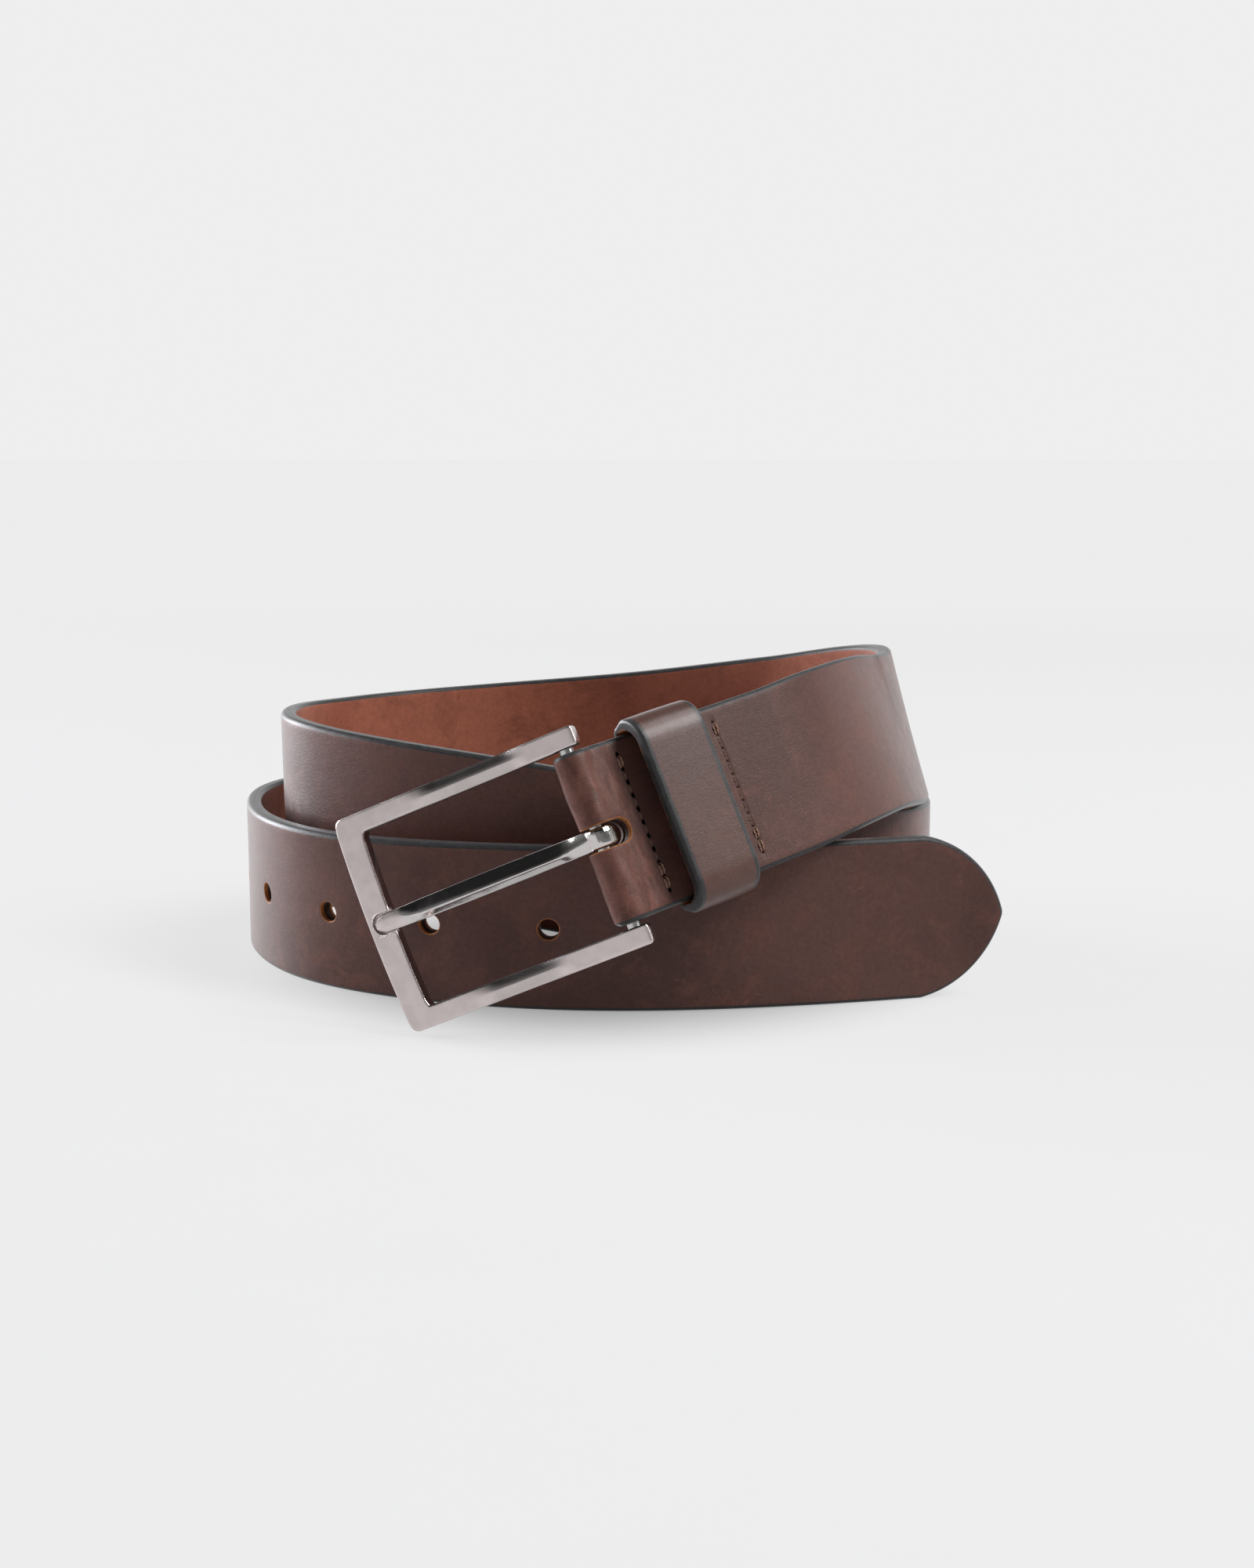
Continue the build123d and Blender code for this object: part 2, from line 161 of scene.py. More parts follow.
def skin(rows, size, closed=False):
    """Faces round a run of rings of size points each. An open run gets a cap at both ends."""
    faces = []
    for i in range(rows if closed else rows - 1):
        a, b = i * size, (i + 1) % rows * size
        faces += [(a + k, a + (k + 1) % size, b + (k + 1) % size, b + k) for k in range(size)]
    if not closed:
        faces += [tuple(range(size))[::-1], tuple(range((rows - 1) * size, rows * size))]
    return faces


def inside(points, loop):
    """Which points lie inside a closed loop."""
    x, y = points[:, 0][:, None], points[:, 1][:, None]
    ax, ay = loop[:, 0][None], loop[:, 1][None]
    bx, by = np.roll(loop[:, 0], -1)[None], np.roll(loop[:, 1], -1)[None]
    crosses = (ay > y) != (by > y)
    with np.errstate(divide="ignore", invalid="ignore"):
        hit = x < (bx - ax) * (y - ay) / (by - ay) + ax
    return (crosses & hit).sum(1) % 2 == 1


def outward(loop, hole):
    """Unit normals of a loop's points that point out of the material."""
    tangent = np.roll(loop, -1, 0) - np.roll(loop, 1, 0)
    normal = np.stack([tangent[:, 1], -tangent[:, 0]], 1)
    normal /= np.linalg.norm(normal, axis=1)[:, None]
    area = np.sum(loop[:, 0] * np.roll(loop[:, 1], -1) - np.roll(loop[:, 0], -1) * loop[:, 1])
    if (area < 0) != hole:
        normal = -normal
    return normal


def fill_flat(loops, grid, clear):
    """Triangles that fill the first loop less the others, with grid points that stay clear of the loops."""
    tree = KDTree(sum(len(loop) for loop in loops))
    for k, p in enumerate(np.concatenate(loops)):
        tree.insert((p[0], p[1], 0), k)
    tree.balance()
    keep = inside(grid, loops[0])
    for loop in loops[1:]:
        near = np.abs(grid - loop.mean(0)).max(1) < np.ptp(loop, axis=0).max()
        keep[near] &= ~inside(grid[near], loop)
    keep[keep] = [tree.find((p[0], p[1], 0))[2] > clear for p in grid[keep]]
    grid = grid[keep]
    points = np.concatenate(loops + [grid])
    edges, start = [], 0
    for loop in loops:
        edges += [(start + k, start + (k + 1) % len(loop)) for k in range(len(loop))]
        start += len(loop)
    _, _, faces, origin, _, _ = delaunay_2d_cdt([Vector(p) for p in points], edges, [], 0, 1e-6)
    source = [o[0] if o else -1 for o in origin]
    faces = np.array([[source[k] for k in f] for f in faces if len(f) == 3])
    faces = faces[(faces >= 0).all(1)]
    middle = points[faces].mean(1)
    wanted = inside(middle, loops[0])
    for loop in loops[1:]:
        near = np.abs(middle - loop.mean(0)).max(1) < np.ptp(loop, axis=0).max()
        wanted[near] &= ~inside(middle[near], loop)
    faces = faces[wanted]
    a, b, c = (points[faces[:, k]] for k in range(3))
    turn = (b[:, 0] - a[:, 0]) * (c[:, 1] - a[:, 1]) - (c[:, 0] - a[:, 0]) * (b[:, 1] - a[:, 1])
    faces[turn < 0] = faces[turn < 0][:, ::-1]
    return points, faces


ROUND = np.radians([0, 15, 30, 45, 60, 75, 90])


def hole_kind(k, loop):
    """0 for the outline, 1 for a belt hole or the slot, 2 for an open needle hole, 3 for a closed one."""
    height = np.ptp(loop[:, 1])
    if k == 0:
        return 0
    return 1 if height > 2 else 2 if height > 1 else 3


def panel(name, loops, grid, thickness, place, top_round, bottom_round, clear=0.45, sharp=50):
    """A flat pattern of leather with rounded edges, bent into place.

    loops: the outline, then the holes. Points are (along, across); place() takes them with the height
    above the back. Attributes: flat (along, across, height), rim (0 on the face, 1 on an edge) and
    hole (0 at the outline, 1 at a large hole, 2 at an open needle hole, 3 at a closed one)."""
    normals = [outward(l, k > 0) for k, l in enumerate(loops)]
    tops = [l - n * r for l, n, r in zip(loops, normals, top_round)]
    bottoms = [l - n * r for l, n, r in zip(loops, normals, bottom_round)]
    top_points, top_faces = fill_flat(tops, grid, clear)
    bottom_points, bottom_faces = fill_flat(bottoms, grid, clear)
    flat = [np.column_stack([top_points, thickness(top_points[:, 0])])]
    flat.append(np.column_stack([bottom_points, np.zeros(len(bottom_points))]))
    kind = [np.zeros(len(top_points)), np.zeros(len(bottom_points))]
    rim = [np.zeros(len(top_points)), np.zeros(len(bottom_points))]
    faces = [tuple(f) for f in top_faces]
    shift = len(top_points)
    faces += [tuple(f[::-1] + shift) for f in bottom_faces]
    count = shift + len(bottom_points)
    top_start, bottom_start = 0, shift
    for k, (loop, normal, rt, rb) in enumerate(zip(loops, normals, top_round, bottom_round)):
        size = len(loop)
        rings = [np.arange(top_start, top_start + size)]
        depth = thickness(loop[:, 0])
        steps = [(rt, a, True) for a in ROUND[1:]] + [(rb, a, False) for a in ROUND[::-1][:-1]]
        for r, a, upper in steps:
            p = loop - normal * r * (1 - math.sin(a))
            h = depth - r * (1 - math.cos(a)) if upper else np.full(size, r * (1 - math.cos(a)))
            flat.append(np.column_stack([p, h]))
            rim.append(np.full(size, math.sin(a) if upper else 1.0))
            kind.append(np.full(size, hole_kind(k, loop)))
            rings.append(np.arange(count, count + size))
            count += size
        rings.append(np.arange(bottom_start, bottom_start + size))
        area = np.sum(loop[:, 0] * np.roll(loop[:, 1], -1) - np.roll(loop[:, 0], -1) * loop[:, 1])
        way = (area > 0) == (k == 0)
        for upper, lower in zip(rings[:-1], rings[1:]):
            for i in range(size):
                j = (i + 1) % size
                quad = (upper[i], lower[i], lower[j], upper[j])
                faces.append(quad if way else quad[::-1])
        top_start += size
        bottom_start += size
    flat = np.concatenate(flat)
    values = {"flat": flat, "rim": np.concatenate(rim), "hole": np.concatenate(kind)}
    return new_mesh(name, place(flat), faces, values, sharp)


def circle(x, y, radius, count):
    angle = np.linspace(0, 2 * math.pi, count, endpoint=False)
    return np.column_stack([x + radius * np.cos(angle), y + radius * np.sin(angle)])


def smoothstep(x, low, high):
    t = np.clip((np.asarray(x, float) - low) / (high - low), 0, 1)
    return t * t * (3 - 2 * t)


# -------------------- grain leather: coil, fold and tab in one piece
BORE = 1.48
JOIN = 8.0
TAB = 1.3
TAB_END = 38.5
POCKET_START, POCKET_END, POCKET_DEPTH, POCKET_RAMP = 11.4, 31.3, 1.9, 1.4
ROWS = (9.4, 33.5)
STITCH, STITCH_COUNT = 2.8, 10
ROW_HALF = STITCH * STITCH_COUNT / 2 + 0.8
GROOVE_DEPTH, GROOVE_WIDTH = 0.16, 0.42
OPEN_NEEDLE_HOLE, CLOSED_NEEDLE_HOLE = (0.36, 0.7), (0.22, 0.3)
FIRST_HOLE, HOLE_PITCH, HOLE_COUNT, HOLE_RADIUS = 745, 25, 5, 2.2
HOLES = [FIRST_HOLE + HOLE_PITCH * k for k in range(HOLE_COUNT)]


def fold_path():
    """Back of the grain leather seen on edge, (distance, x, y), from the flat stretch round to the tab.

    The distance equals x on the flat stretch and runs on below JOIN."""
    slope = math.asin(BORE / JOIN)
    arc = np.linspace(-math.pi / 2 + slope, -3 * math.pi / 2 - slope, 60)
    points = [(FLAT_LENGTH, 0.0), (JOIN, 0.0)]
    points += [(BORE * math.cos(a), BORE * math.sin(a)) for a in arc]
    points += [(JOIN, GLUE), (POCKET_START - POCKET_RAMP, GLUE), (POCKET_START, POCKET_DEPTH)]
    points += [(POCKET_END, POCKET_DEPTH), (POCKET_END + POCKET_RAMP, GLUE), (TAB_END, GLUE)]
    points = np.array(points)
    length = np.concatenate([[0], np.cumsum(np.linalg.norm(np.diff(points, axis=0), axis=1))])
    fine = np.arange(0, length[-1], 0.1)
    line = np.column_stack([np.interp(fine, length, points[:, k]) for k in (0, 1)])
    kernel = np.exp(-0.5 * (np.arange(-25, 26) / 7.0) ** 2)
    kernel /= kernel.sum()
    padded = np.pad(line, ((25, 25), (0, 0)), mode="reflect", reflect_type="odd")
    soft = np.column_stack([np.convolve(padded[:, k], kernel, "valid") for k in (0, 1)])
    share = smoothstep(line[:, 0], 2.5, 6.0)[:, None]
    line = soft * share + line * (1 - share)
    length = np.concatenate([[0], np.cumsum(np.linalg.norm(np.diff(line, axis=0), axis=1))])
    return np.column_stack([FLAT_LENGTH - length, line])[::-1]


FOLD = fold_path()
FOLD_TURN = FOLD[np.argmin(FOLD[:, 1]), 0]
TAB_STOP = FOLD[0, 0] + 0.05
FOLD_NORMAL = np.gradient(FOLD[:, 1:], FOLD[:, 0], axis=0)
FOLD_NORMAL = np.column_stack([FOLD_NORMAL[:, 1], -FOLD_NORMAL[:, 0]])
FOLD_NORMAL /= np.linalg.norm(FOLD_NORMAL, axis=1)[:, None]


CREASE_DEEP, CREASE_FINE = 0.24, 0.09


def creases(along, across):
    """Height of the soft wrinkles that the fold and the wear leave in the leather, in millimetres."""
    strength = smoothstep(along, FOLD_TURN - 6, FOLD_TURN) * (1 - smoothstep(along, 6.0, 10.0))
    out = np.zeros(len(along))
    for i in np.nonzero(strength > 0)[0]:
        p = Vector((along[i] * 0.42, across[i] * 0.11, 3.0))
        q = Vector((along[i] * 1.1, across[i] * 0.3, 9.0))
        out[i] = strength[i] * (CREASE_DEEP * noise.noise(p) + CREASE_FINE * noise.noise(q))
    return out


def place_outer(flat):
    """Points of the grain leather's pattern, bent round the coil and the fold."""
    along, across, height = flat.T
    middle, _, inward, up = stations(np.maximum(along, FLAT_LENGTH))
    coil = middle + up * across[:, None] - inward * height[:, None]
    x, y = (np.interp(along, FOLD[:, 0], FOLD[:, k]) for k in (1, 2))
    nx, ny = (np.interp(along, FOLD[:, 0], FOLD_NORMAL[:, k]) for k in (0, 1))
    groove = GROOVE_DEPTH * np.exp(-(((along - ROWS[1]) / GROOVE_WIDTH) ** 2)) * (np.abs(across) < ROW_HALF)
    lift = height + (creases(along, across) - groove) * (height > 0.6)
    x, y = x + nx * lift, y + ny * lift
    end = BAR + x[:, None] * END_ALONG + y[:, None] * END_INWARD + across[:, None] * END_UP
    return np.where((along > FLAT_LENGTH)[:, None], coil, end)


def outer_thickness(along):
    return TAB + (GRAIN - TAB) * smoothstep(along, FOLD_TURN - 8, FOLD_TURN - 2)


POINT_LENGTH, POINT_WAIST, POINT_BLUNT = 19.0, (5.2, 9.7), 3.0


def point_outline(count=34):
    """The rounded point, from the upper edge to the lower one, as (distance from the point, across)."""
    ax, ay = POINT_LENGTH, HALF_WIDTH
    bx, by = POINT_WAIST
    # circle through the end of the straight edge, the waist and the point
    d = 2 * (ax * by - bx * ay)
    cx = ((ax * ax + ay * ay) * by - (bx * bx + by * by) * ay) / d
    cy = ((bx * bx + by * by) * ax - (ax * ax + ay * ay) * bx) / d
    radius = math.hypot(cx, cy)
    start, stop = math.atan2(ay - cy, ax - cx), math.atan2(-cy, -cx)
    if stop < start:
        stop += 2 * math.pi
    # the blunt corner: a circle inside the arc and its mirror image
    bc = cx - math.sqrt((radius - POINT_BLUNT) ** 2 - cy * cy)
    touch = math.atan2(-cy, bc - cx)
    if touch < 0:
        touch += 2 * math.pi
    angles = np.linspace(start, touch, count)
    arc = np.column_stack([cx + radius * np.cos(angles), cy + radius * np.sin(angles)])
    first = math.atan2(arc[-1][1], arc[-1][0] - bc)
    cap = np.linspace(first, 2 * math.pi - first, 12)[1:-1]
    blunt = np.column_stack([bc + POINT_BLUNT * np.cos(cap), POINT_BLUNT * np.sin(cap)])
    mirror = arc[::-1] * [1, -1]
    return np.concatenate([arc, blunt, mirror])


END_CORNER, SIDE_COUNT = 2.0, 26


def strap_outline(start, rows):
    """Closed outline of a layer that begins square at start and ends in the point."""
    point = point_outline()
    point = np.column_stack([STRAP_LENGTH - point[:, 0], point[:, 1]])
    edge = rows[(rows > start + 2.5) & (rows < STRAP_LENGTH - POINT_LENGTH - 0.8)]
    top = np.column_stack([edge, np.full(len(edge), HALF_WIDTH)])
    corner = np.radians([0, 30, 60, 90])
    round_x, round_y = END_CORNER * np.sin(corner), END_CORNER * np.cos(corner)
    upper = np.column_stack([start + END_CORNER - round_x, HALF_WIDTH - END_CORNER + round_y])
    side = np.linspace(HALF_WIDTH - END_CORNER - 1.2, -HALF_WIDTH + END_CORNER + 1.2, SIDE_COUNT)
    left = np.column_stack([np.full(SIDE_COUNT, start), side])
    lower, bottom = upper * [1, -1], top * [1, -1]
    return np.concatenate([top, point, bottom[::-1], lower, left[::-1], upper[::-1]])


fold_rows = np.arange(TAB_STOP, 14.0, 0.45)
coil_rows = np.arange(14.5, STRAP_LENGTH, 1.6)
groove_rows = np.arange(ROWS[1] - 1.2, ROWS[1] + 1.3, 0.24)
outer_rows = np.sort(np.concatenate([fold_rows, coil_rows, groove_rows]))
GRID_REACH = 15.6
across_rows = np.linspace(-GRID_REACH, GRID_REACH, 27)
outer_grid = np.array([(u, w) for u in outer_rows for w in across_rows])
lining_rows = np.arange(40.0, STRAP_LENGTH, 1.6)
lining_grid = np.array([(u, w) for u in lining_rows for w in across_rows])

# rounding of the edges: outline, slot, belt holes, needle holes and the whole back
OUTLINE_ROUND, SLOT_ROUND, HOLE_ROUND, NEEDLE_ROUND, BACK_ROUND = 1.15, 0.3, 0.28, 0.08, 0.03
SLOT_END, SLOT_WIDTH = 5.6, 4.9
slot_front = SLOT_END - SLOT_WIDTH / 2
slot_back = 2 * FOLD_TURN - slot_front
arc = np.linspace(-math.pi / 2, math.pi / 2, 17)
straight = np.linspace(slot_back, slot_front, 26)[1:-1]
slot_loop = np.concatenate([
    np.column_stack([slot_front + SLOT_WIDTH / 2 * np.cos(arc), SLOT_WIDTH / 2 * np.sin(arc)]),
    np.column_stack([straight[::-1], np.full(24, SLOT_WIDTH / 2)]),
    np.column_stack([slot_back - SLOT_WIDTH / 2 * np.cos(arc), -SLOT_WIDTH / 2 * np.sin(arc)]),
    np.column_stack([straight, np.full(24, -SLOT_WIDTH / 2)]),
])
back_side = FOLD[FOLD[:, 0] < FOLD_TURN][::-1]
back_rows = [float(np.interp(row, back_side[:, 1], back_side[:, 0])) for row in ROWS]
needle_places = [(k - STITCH_COUNT / 2) * STITCH for k in range(STITCH_COUNT + 1)]
needle_loops = [
    circle(0, 0, 1, 12) * (OPEN_NEEDLE_HOLE if x < ROWS[0] + 1 else CLOSED_NEEDLE_HOLE) + [x, y]
    for x in (*ROWS, *back_rows) for y in needle_places
]
hole_loops = [circle(d, 0, HOLE_RADIUS, 36) for d in HOLES]

outline = strap_outline(TAB_STOP, outer_rows)
loops = [outline, slot_loop] + hole_loops + needle_loops
rounds = [OUTLINE_ROUND, SLOT_ROUND] + [HOLE_ROUND] * len(hole_loops) + [NEEDLE_ROUND] * len(needle_loops)
strap_outer = panel(
    "grain_leather_strap", loops, outer_grid, outer_thickness, place_outer, rounds,
    [BACK_ROUND] * len(loops), clear=0.3,
)


LINING_START, LINING_GAP = 38.6, 0.02
LINING_ROUND, LINING_HOLE_ROUND = 0.95, 0.22


def place_lining(flat):
    """Points of the lining's pattern, bent round the coil."""
    along, across, height = flat.T
    middle, _, inward, up = stations(along)
    return middle + up * across[:, None] + inward * (height + LINING_GAP)[:, None]


outline = strap_outline(LINING_START, lining_rows)
loops = [outline] + hole_loops
rounds = [LINING_ROUND] + [LINING_HOLE_ROUND] * len(hole_loops)
strap_lining = panel(
    "cognac_lining", loops, lining_grid, lambda u: np.full(len(u), LINING + GLUE - LINING_GAP), place_lining,
    rounds, [BACK_ROUND] * len(loops),
)
# the lining's pattern is seen from the back, so its faces turn over
tidy_normals(strap_lining, 50)


# -------------------- keeper: a band of leather round the front layer
KEEPER_WIDTH, KEEPER_START = 15.5, 12.15
ROOM_FRONT, ROOM_BACK, ROOM_TOP = -5.9, 0.1, 18.0
BAND_FRONT, BAND_BACK = 2.2, 1.4
OUTER_EDGE, INNER_EDGE = 0.75, 0.25
FRONT_CORNER, BACK_CORNER = 3.6, 0.5


def keeper_line():
    """The band's inner line as (y inward, z up), its outward normals and the leather's thickness there."""
    front, back = FRONT_CORNER, BACK_CORNER
    corners = [
        (ROOM_BACK - back, ROOM_TOP - back, back, 0), (ROOM_FRONT + front, ROOM_TOP - front, front, 90),
        (ROOM_FRONT + front, front - ROOM_TOP, front, 180), (ROOM_BACK - back, back - ROOM_TOP, back, 270),
    ]
    points, normals = [], []
    for cy, cz, r, first in corners:
        for a in np.radians(np.linspace(first, first + 90, 11)):
            points.append((cy + r * math.cos(a), cz + r * math.sin(a)))
            normals.append((math.cos(a), math.sin(a)))
    points, normals = np.array(points), np.array(normals)
    # fill the straight runs
    out_p, out_n = [], []
    for k in range(len(points)):
        p, q = points[k], points[(k + 1) % len(points)]
        n, m = normals[k], normals[(k + 1) % len(points)]
        count = max(1, int(np.linalg.norm(q - p) / 1.2))
        for j in range(count):
            out_p.append(p + (q - p) * j / count)
            out_n.append(n + (m - n) * j / count)
    out_p, out_n = np.array(out_p), np.array(out_n)
    out_n /= np.linalg.norm(out_n, axis=1)[:, None]
    thick = BAND_FRONT + (BAND_BACK - BAND_FRONT) * smoothstep(out_p[:, 0], ROOM_BACK - 2.5, ROOM_BACK - 0.2)
    return out_p, out_n, thick


def keeper_mesh():
    """The keeper: a closed band with rounded edges, its front run slightly crowned."""
    line, normal, thick = keeper_line()
    # each entry: place along the belt, share of the thickness, lift above it, rim
    section = [
        (INNER_EDGE * (1 - math.sin(a)), INNER_EDGE * (1 - math.cos(a)), 0, 0.6 + 0.4 * math.sin(a))
        for a in np.radians([0, 45, 90])
    ]
    section += [
        (OUTER_EDGE * (1 - math.cos(a)), 1, -OUTER_EDGE * (1 - math.sin(a)), 1 - a / math.pi) for a in ROUND
    ]
    across = np.linspace(OUTER_EDGE, KEEPER_WIDTH - OUTER_EDGE, 14)[1:-1]
    section += [(x, 1, 0.0, 0.0) for x in across]
    section += [(KEEPER_WIDTH - x, f, c, r) for x, f, c, r in section[:len(section) - len(across)][::-1]]
    section += [(x, 0, 0, 0) for x in across[::-1]]
    points, flat, rim, inner = [], [], [], []
    run = np.concatenate([[0], np.cumsum(np.linalg.norm(np.diff(line, axis=0), axis=1))])
    for p, n, t, s in zip(line, normal, thick, run):
        for x, share, lift, r in section:
            crown = 0.1 * (1 - (2 * x / KEEPER_WIDTH - 1) ** 2) if share == 1 else 0
            h = share * t + lift + crown * (p[0] < -1)
            if share not in (0, 1):
                h = share
            y, z = p + n * h
            points.append(BAR + (KEEPER_START + x) * END_ALONG + y * END_INWARD + z * END_UP)
            flat.append((x, s, h))
            rim.append(r)
            inner.append(1.0 if share == 0 else 0.5 if share <= INNER_EDGE else 0.0)
    faces = skin(len(line), len(section), closed=True)
    return new_mesh("leather_keeper", points, faces, {"flat": np.array(flat), "rim": rim, "inner": inner}, 60)


keeper = keeper_mesh()
tidy_normals(keeper, 60)

# -------------------- buckle: frame, prong and bar
FOLD_ANGLE = math.radians(48)
FRAME_ALONG = END_ALONG * math.cos(FOLD_ANGLE) - END_INWARD * math.sin(FOLD_ANGLE)
FRAME_OUT = -(END_INWARD * math.cos(FOLD_ANGLE) + END_ALONG * math.sin(FOLD_ANGLE))
FRAME_BACK, FRAME_FRONT, FRAME_TOP, FRAME_HALF = 3.0, 50.2, 22.5, 1.65
FRONT_BAR, RAIL, FRAME_BOW = 5.4, 4.1, 0.8
OUTER_CORNER, INNER_CORNER = 1.8, 0.35
FACE_ROUND, CROWN = 0.42, 0.75
# where each rail's crown rises and falls again, along the frame
UPPER_CROWN = (-35, -26), (-13, -7.5)
LOWER_CROWN = (-37, -27), (-21, -13)


def frame_point(x, y, h):
    return BAR + x * FRAME_ALONG + y * END_UP + h * FRAME_OUT


def bow(x, y):
    """The front bar's slight outward curve."""
    return x - FRAME_BOW * (1 - (y / FRAME_TOP) ** 2)


def frame_sides():
    """Inner point, outer point and end rounding, round the frame from the lower rail's end to the upper's."""
    inner_x, inner_y = -(FRAME_FRONT - FRONT_BAR), FRAME_TOP - RAIL
    pairs = []
    rounded_end = FRAME_BACK - 0.9 + 0.9 * np.sin(ROUND[::-1])
    rail = np.concatenate([rounded_end, np.linspace(FRAME_BACK - 1.6, inner_x + 1.2, 60)])
    inset = np.concatenate([0.7 * (1 - np.cos(ROUND[::-1])), np.zeros(60)])
    for x, d in zip(rail, inset):
        pairs.append(((x, -inner_y - d), (x, -FRAME_TOP + d), d))
    for a in np.linspace(0, math.pi / 2, 13):
        ix = inner_x + INNER_CORNER * (1 - math.sin(a))
        iy = -inner_y + INNER_CORNER * (1 - math.cos(a))
        ox = -FRAME_FRONT + OUTER_CORNER * (1 - math.sin(a))
        oy = -FRAME_TOP + OUTER_CORNER * (1 - math.cos(a))
        pairs.append(((ix, iy), (ox, oy), 0.0))
    middle = np.linspace(-inner_y + 1.2, inner_y - 1.2, 40)
    for y in middle:
        outer_y = y * (FRAME_TOP - OUTER_CORNER - 0.6) / (inner_y - 1.2)
        pairs.append(((bow(inner_x, y), y), (bow(-FRAME_FRONT, outer_y), outer_y), 0.0))
    mirrored = [((i[0], -i[1]), (o[0], -o[1]), d) for i, o, d in pairs[:-len(middle)]][::-1]
    return pairs + mirrored


def frame_mesh():
    """The frame: flat at its ends and front bar, crowned and polished along the middle of each rail."""
    points, polish, flat = [], [], []
    top = np.linspace(0, 1, 17)
    sides = frame_sides()
    for (ix, iy), (ox, oy), end in sides:
        wide = math.hypot(ox - ix, oy - iy)
        on_rail = abs(abs(oy) - FRAME_TOP) < 0.8 and ox > -FRAME_FRONT + OUTER_CORNER
        rise, fall = UPPER_CROWN if oy > 0 else LOWER_CROWN
        middle = smoothstep(ix, *rise) * (1 - smoothstep(ix, *fall)) if on_rail else 0.0
        high = FRAME_HALF - 0.55 * end
        section = [(0.0, -high + 0.35, 1.0), (0.1, -high + 0.1, 1.0), (0.35, -high, 0.3)]
        section += [(wide - 0.45, -high, 0.3), (wide - 0.13, -high + 0.13, 0.6), (wide, -high + 0.45, 0.9)]
        section += [(wide, high - 0.5 - 0.55 * middle, 0.7)]
        fallen = high - CROWN * middle
        for a in ROUND[1:-1][::-1]:
            out, down = FACE_ROUND * (1 - math.sin(a)), FACE_ROUND * (1 - math.cos(a))
            section.append((wide - out, high - down - CROWN * middle, 0.35 + 0.5 * middle))
        for q in top[::-1]:
            v = 0.34 + q * (wide - FACE_ROUND - 0.34)
            drop = middle * CROWN * abs(2 * q - 1) ** 1.7
            section.append((v, high - drop, 0.85 * middle))
        section += [(0.2, fallen - 0.07, 1.0), (0.06, fallen - 0.2, 1.0), (0.0, fallen - 0.42, 1.0)]
        for v, h, p in section:
            x, y = ix + (ox - ix) * v / wide, iy + (oy - iy) * v / wide
            points.append(frame_point(x, y, h))
            flat.append((x, y, h))
            polish.append(p)
    faces = skin(len(sides), len(points) // len(sides))
    return new_mesh("buckle_frame_cast", points, faces, {"flat": np.array(flat), "polish": polish}, 40)


def boolean(obj, other, operation):
    """Applies one boolean and removes the other object."""
    mod = obj.modifiers.new("cut", "BOOLEAN")
    mod.operation, mod.solver, mod.object = operation, "EXACT", other
    graph = bpy.context.evaluated_depsgraph_get()
    mesh = bpy.data.meshes.new_from_object(obj.evaluated_get(graph), depsgraph=graph)
    obj.modifiers.clear()
    obj.data = mesh
    bpy.data.objects.remove(other)


def extruded(name, outline, low, high, place):
    """A closed solid between two heights over an outline."""
    size = len(outline)
    points = [place(x, y, low) for x, y in outline] + [place(x, y, high) for x, y in outline]
    faces = [tuple(range(size))[::-1], tuple(range(size, 2 * size))]
    faces += [(k, (k + 1) % size, (k + 1) % size + size, k + size) for k in range(size)]
    obj = new_mesh(name, points, faces)
    tidy_normals(obj)
    return obj


def rod(name, radius, reach, count):
    """A round rod along the bar's axis."""
    return extruded(name, circle(0, 0, radius, count), -reach, reach, lambda x, h, y: frame_point(x, y, h))


NOTCH_END, NOTCH_HALF, NOTCH_DEPTH, NOTCH_OPEN = 50.0, 2.25, 1.25, -42.0
SPIGOT_RADIUS, SPIGOT_REACH = 1.05, 21.0
buckle = frame_mesh()
tidy_normals(buckle)
arc = np.linspace(math.pi / 2, 3 * math.pi / 2, 19)
notch = np.column_stack([-NOTCH_END + NOTCH_HALF + NOTCH_HALF * np.cos(arc), NOTCH_HALF * np.sin(arc)])
notch = np.concatenate([notch, [(NOTCH_OPEN, -NOTCH_HALF), (NOTCH_OPEN, NOTCH_HALF)]])
boolean(buckle, extruded("notch_cutter", notch, FRAME_HALF - NOTCH_DEPTH, 4.0, frame_point), "DIFFERENCE")
boolean(buckle, rod("spigot_cutter", SPIGOT_RADIUS, SPIGOT_REACH, 32), "DIFFERENCE")
tidy_normals(buckle)

# the prong's section at distances from the bar: half width, then the heights of ridge, shoulder and underside
SHANK = [
    (0.6, 2.0, 3.0, 2.5, -2.4), (3.0, 2.05, 3.0, 2.2, -1.7), (5.0, 2.12, 2.95, 1.5, -1.5),
    (8.0, 2.12, 2.85, 0.85, -1.3), (16.0, 2.2, 2.75, 0.7, -1.2), (27.0, 2.2, 2.5, 0.6, -1.0),
    (39.5, 2.05, 2.0, 0.5, -0.4), (43.0, 1.95, 1.75, 0.95, 0.3), (45.6, 1.95, 1.66, 1.25, 0.45),
    (47.8, 1.85, 1.6, 1.22, 0.45), (48.9, 1.5, 1.52, 1.15, 0.48), (49.5, 0.95, 1.4, 1.05, 0.55),
]
RIDGE_SHIFT = -0.3
SHANK_EDGE = 0.22
EYE_BORE = 1.46


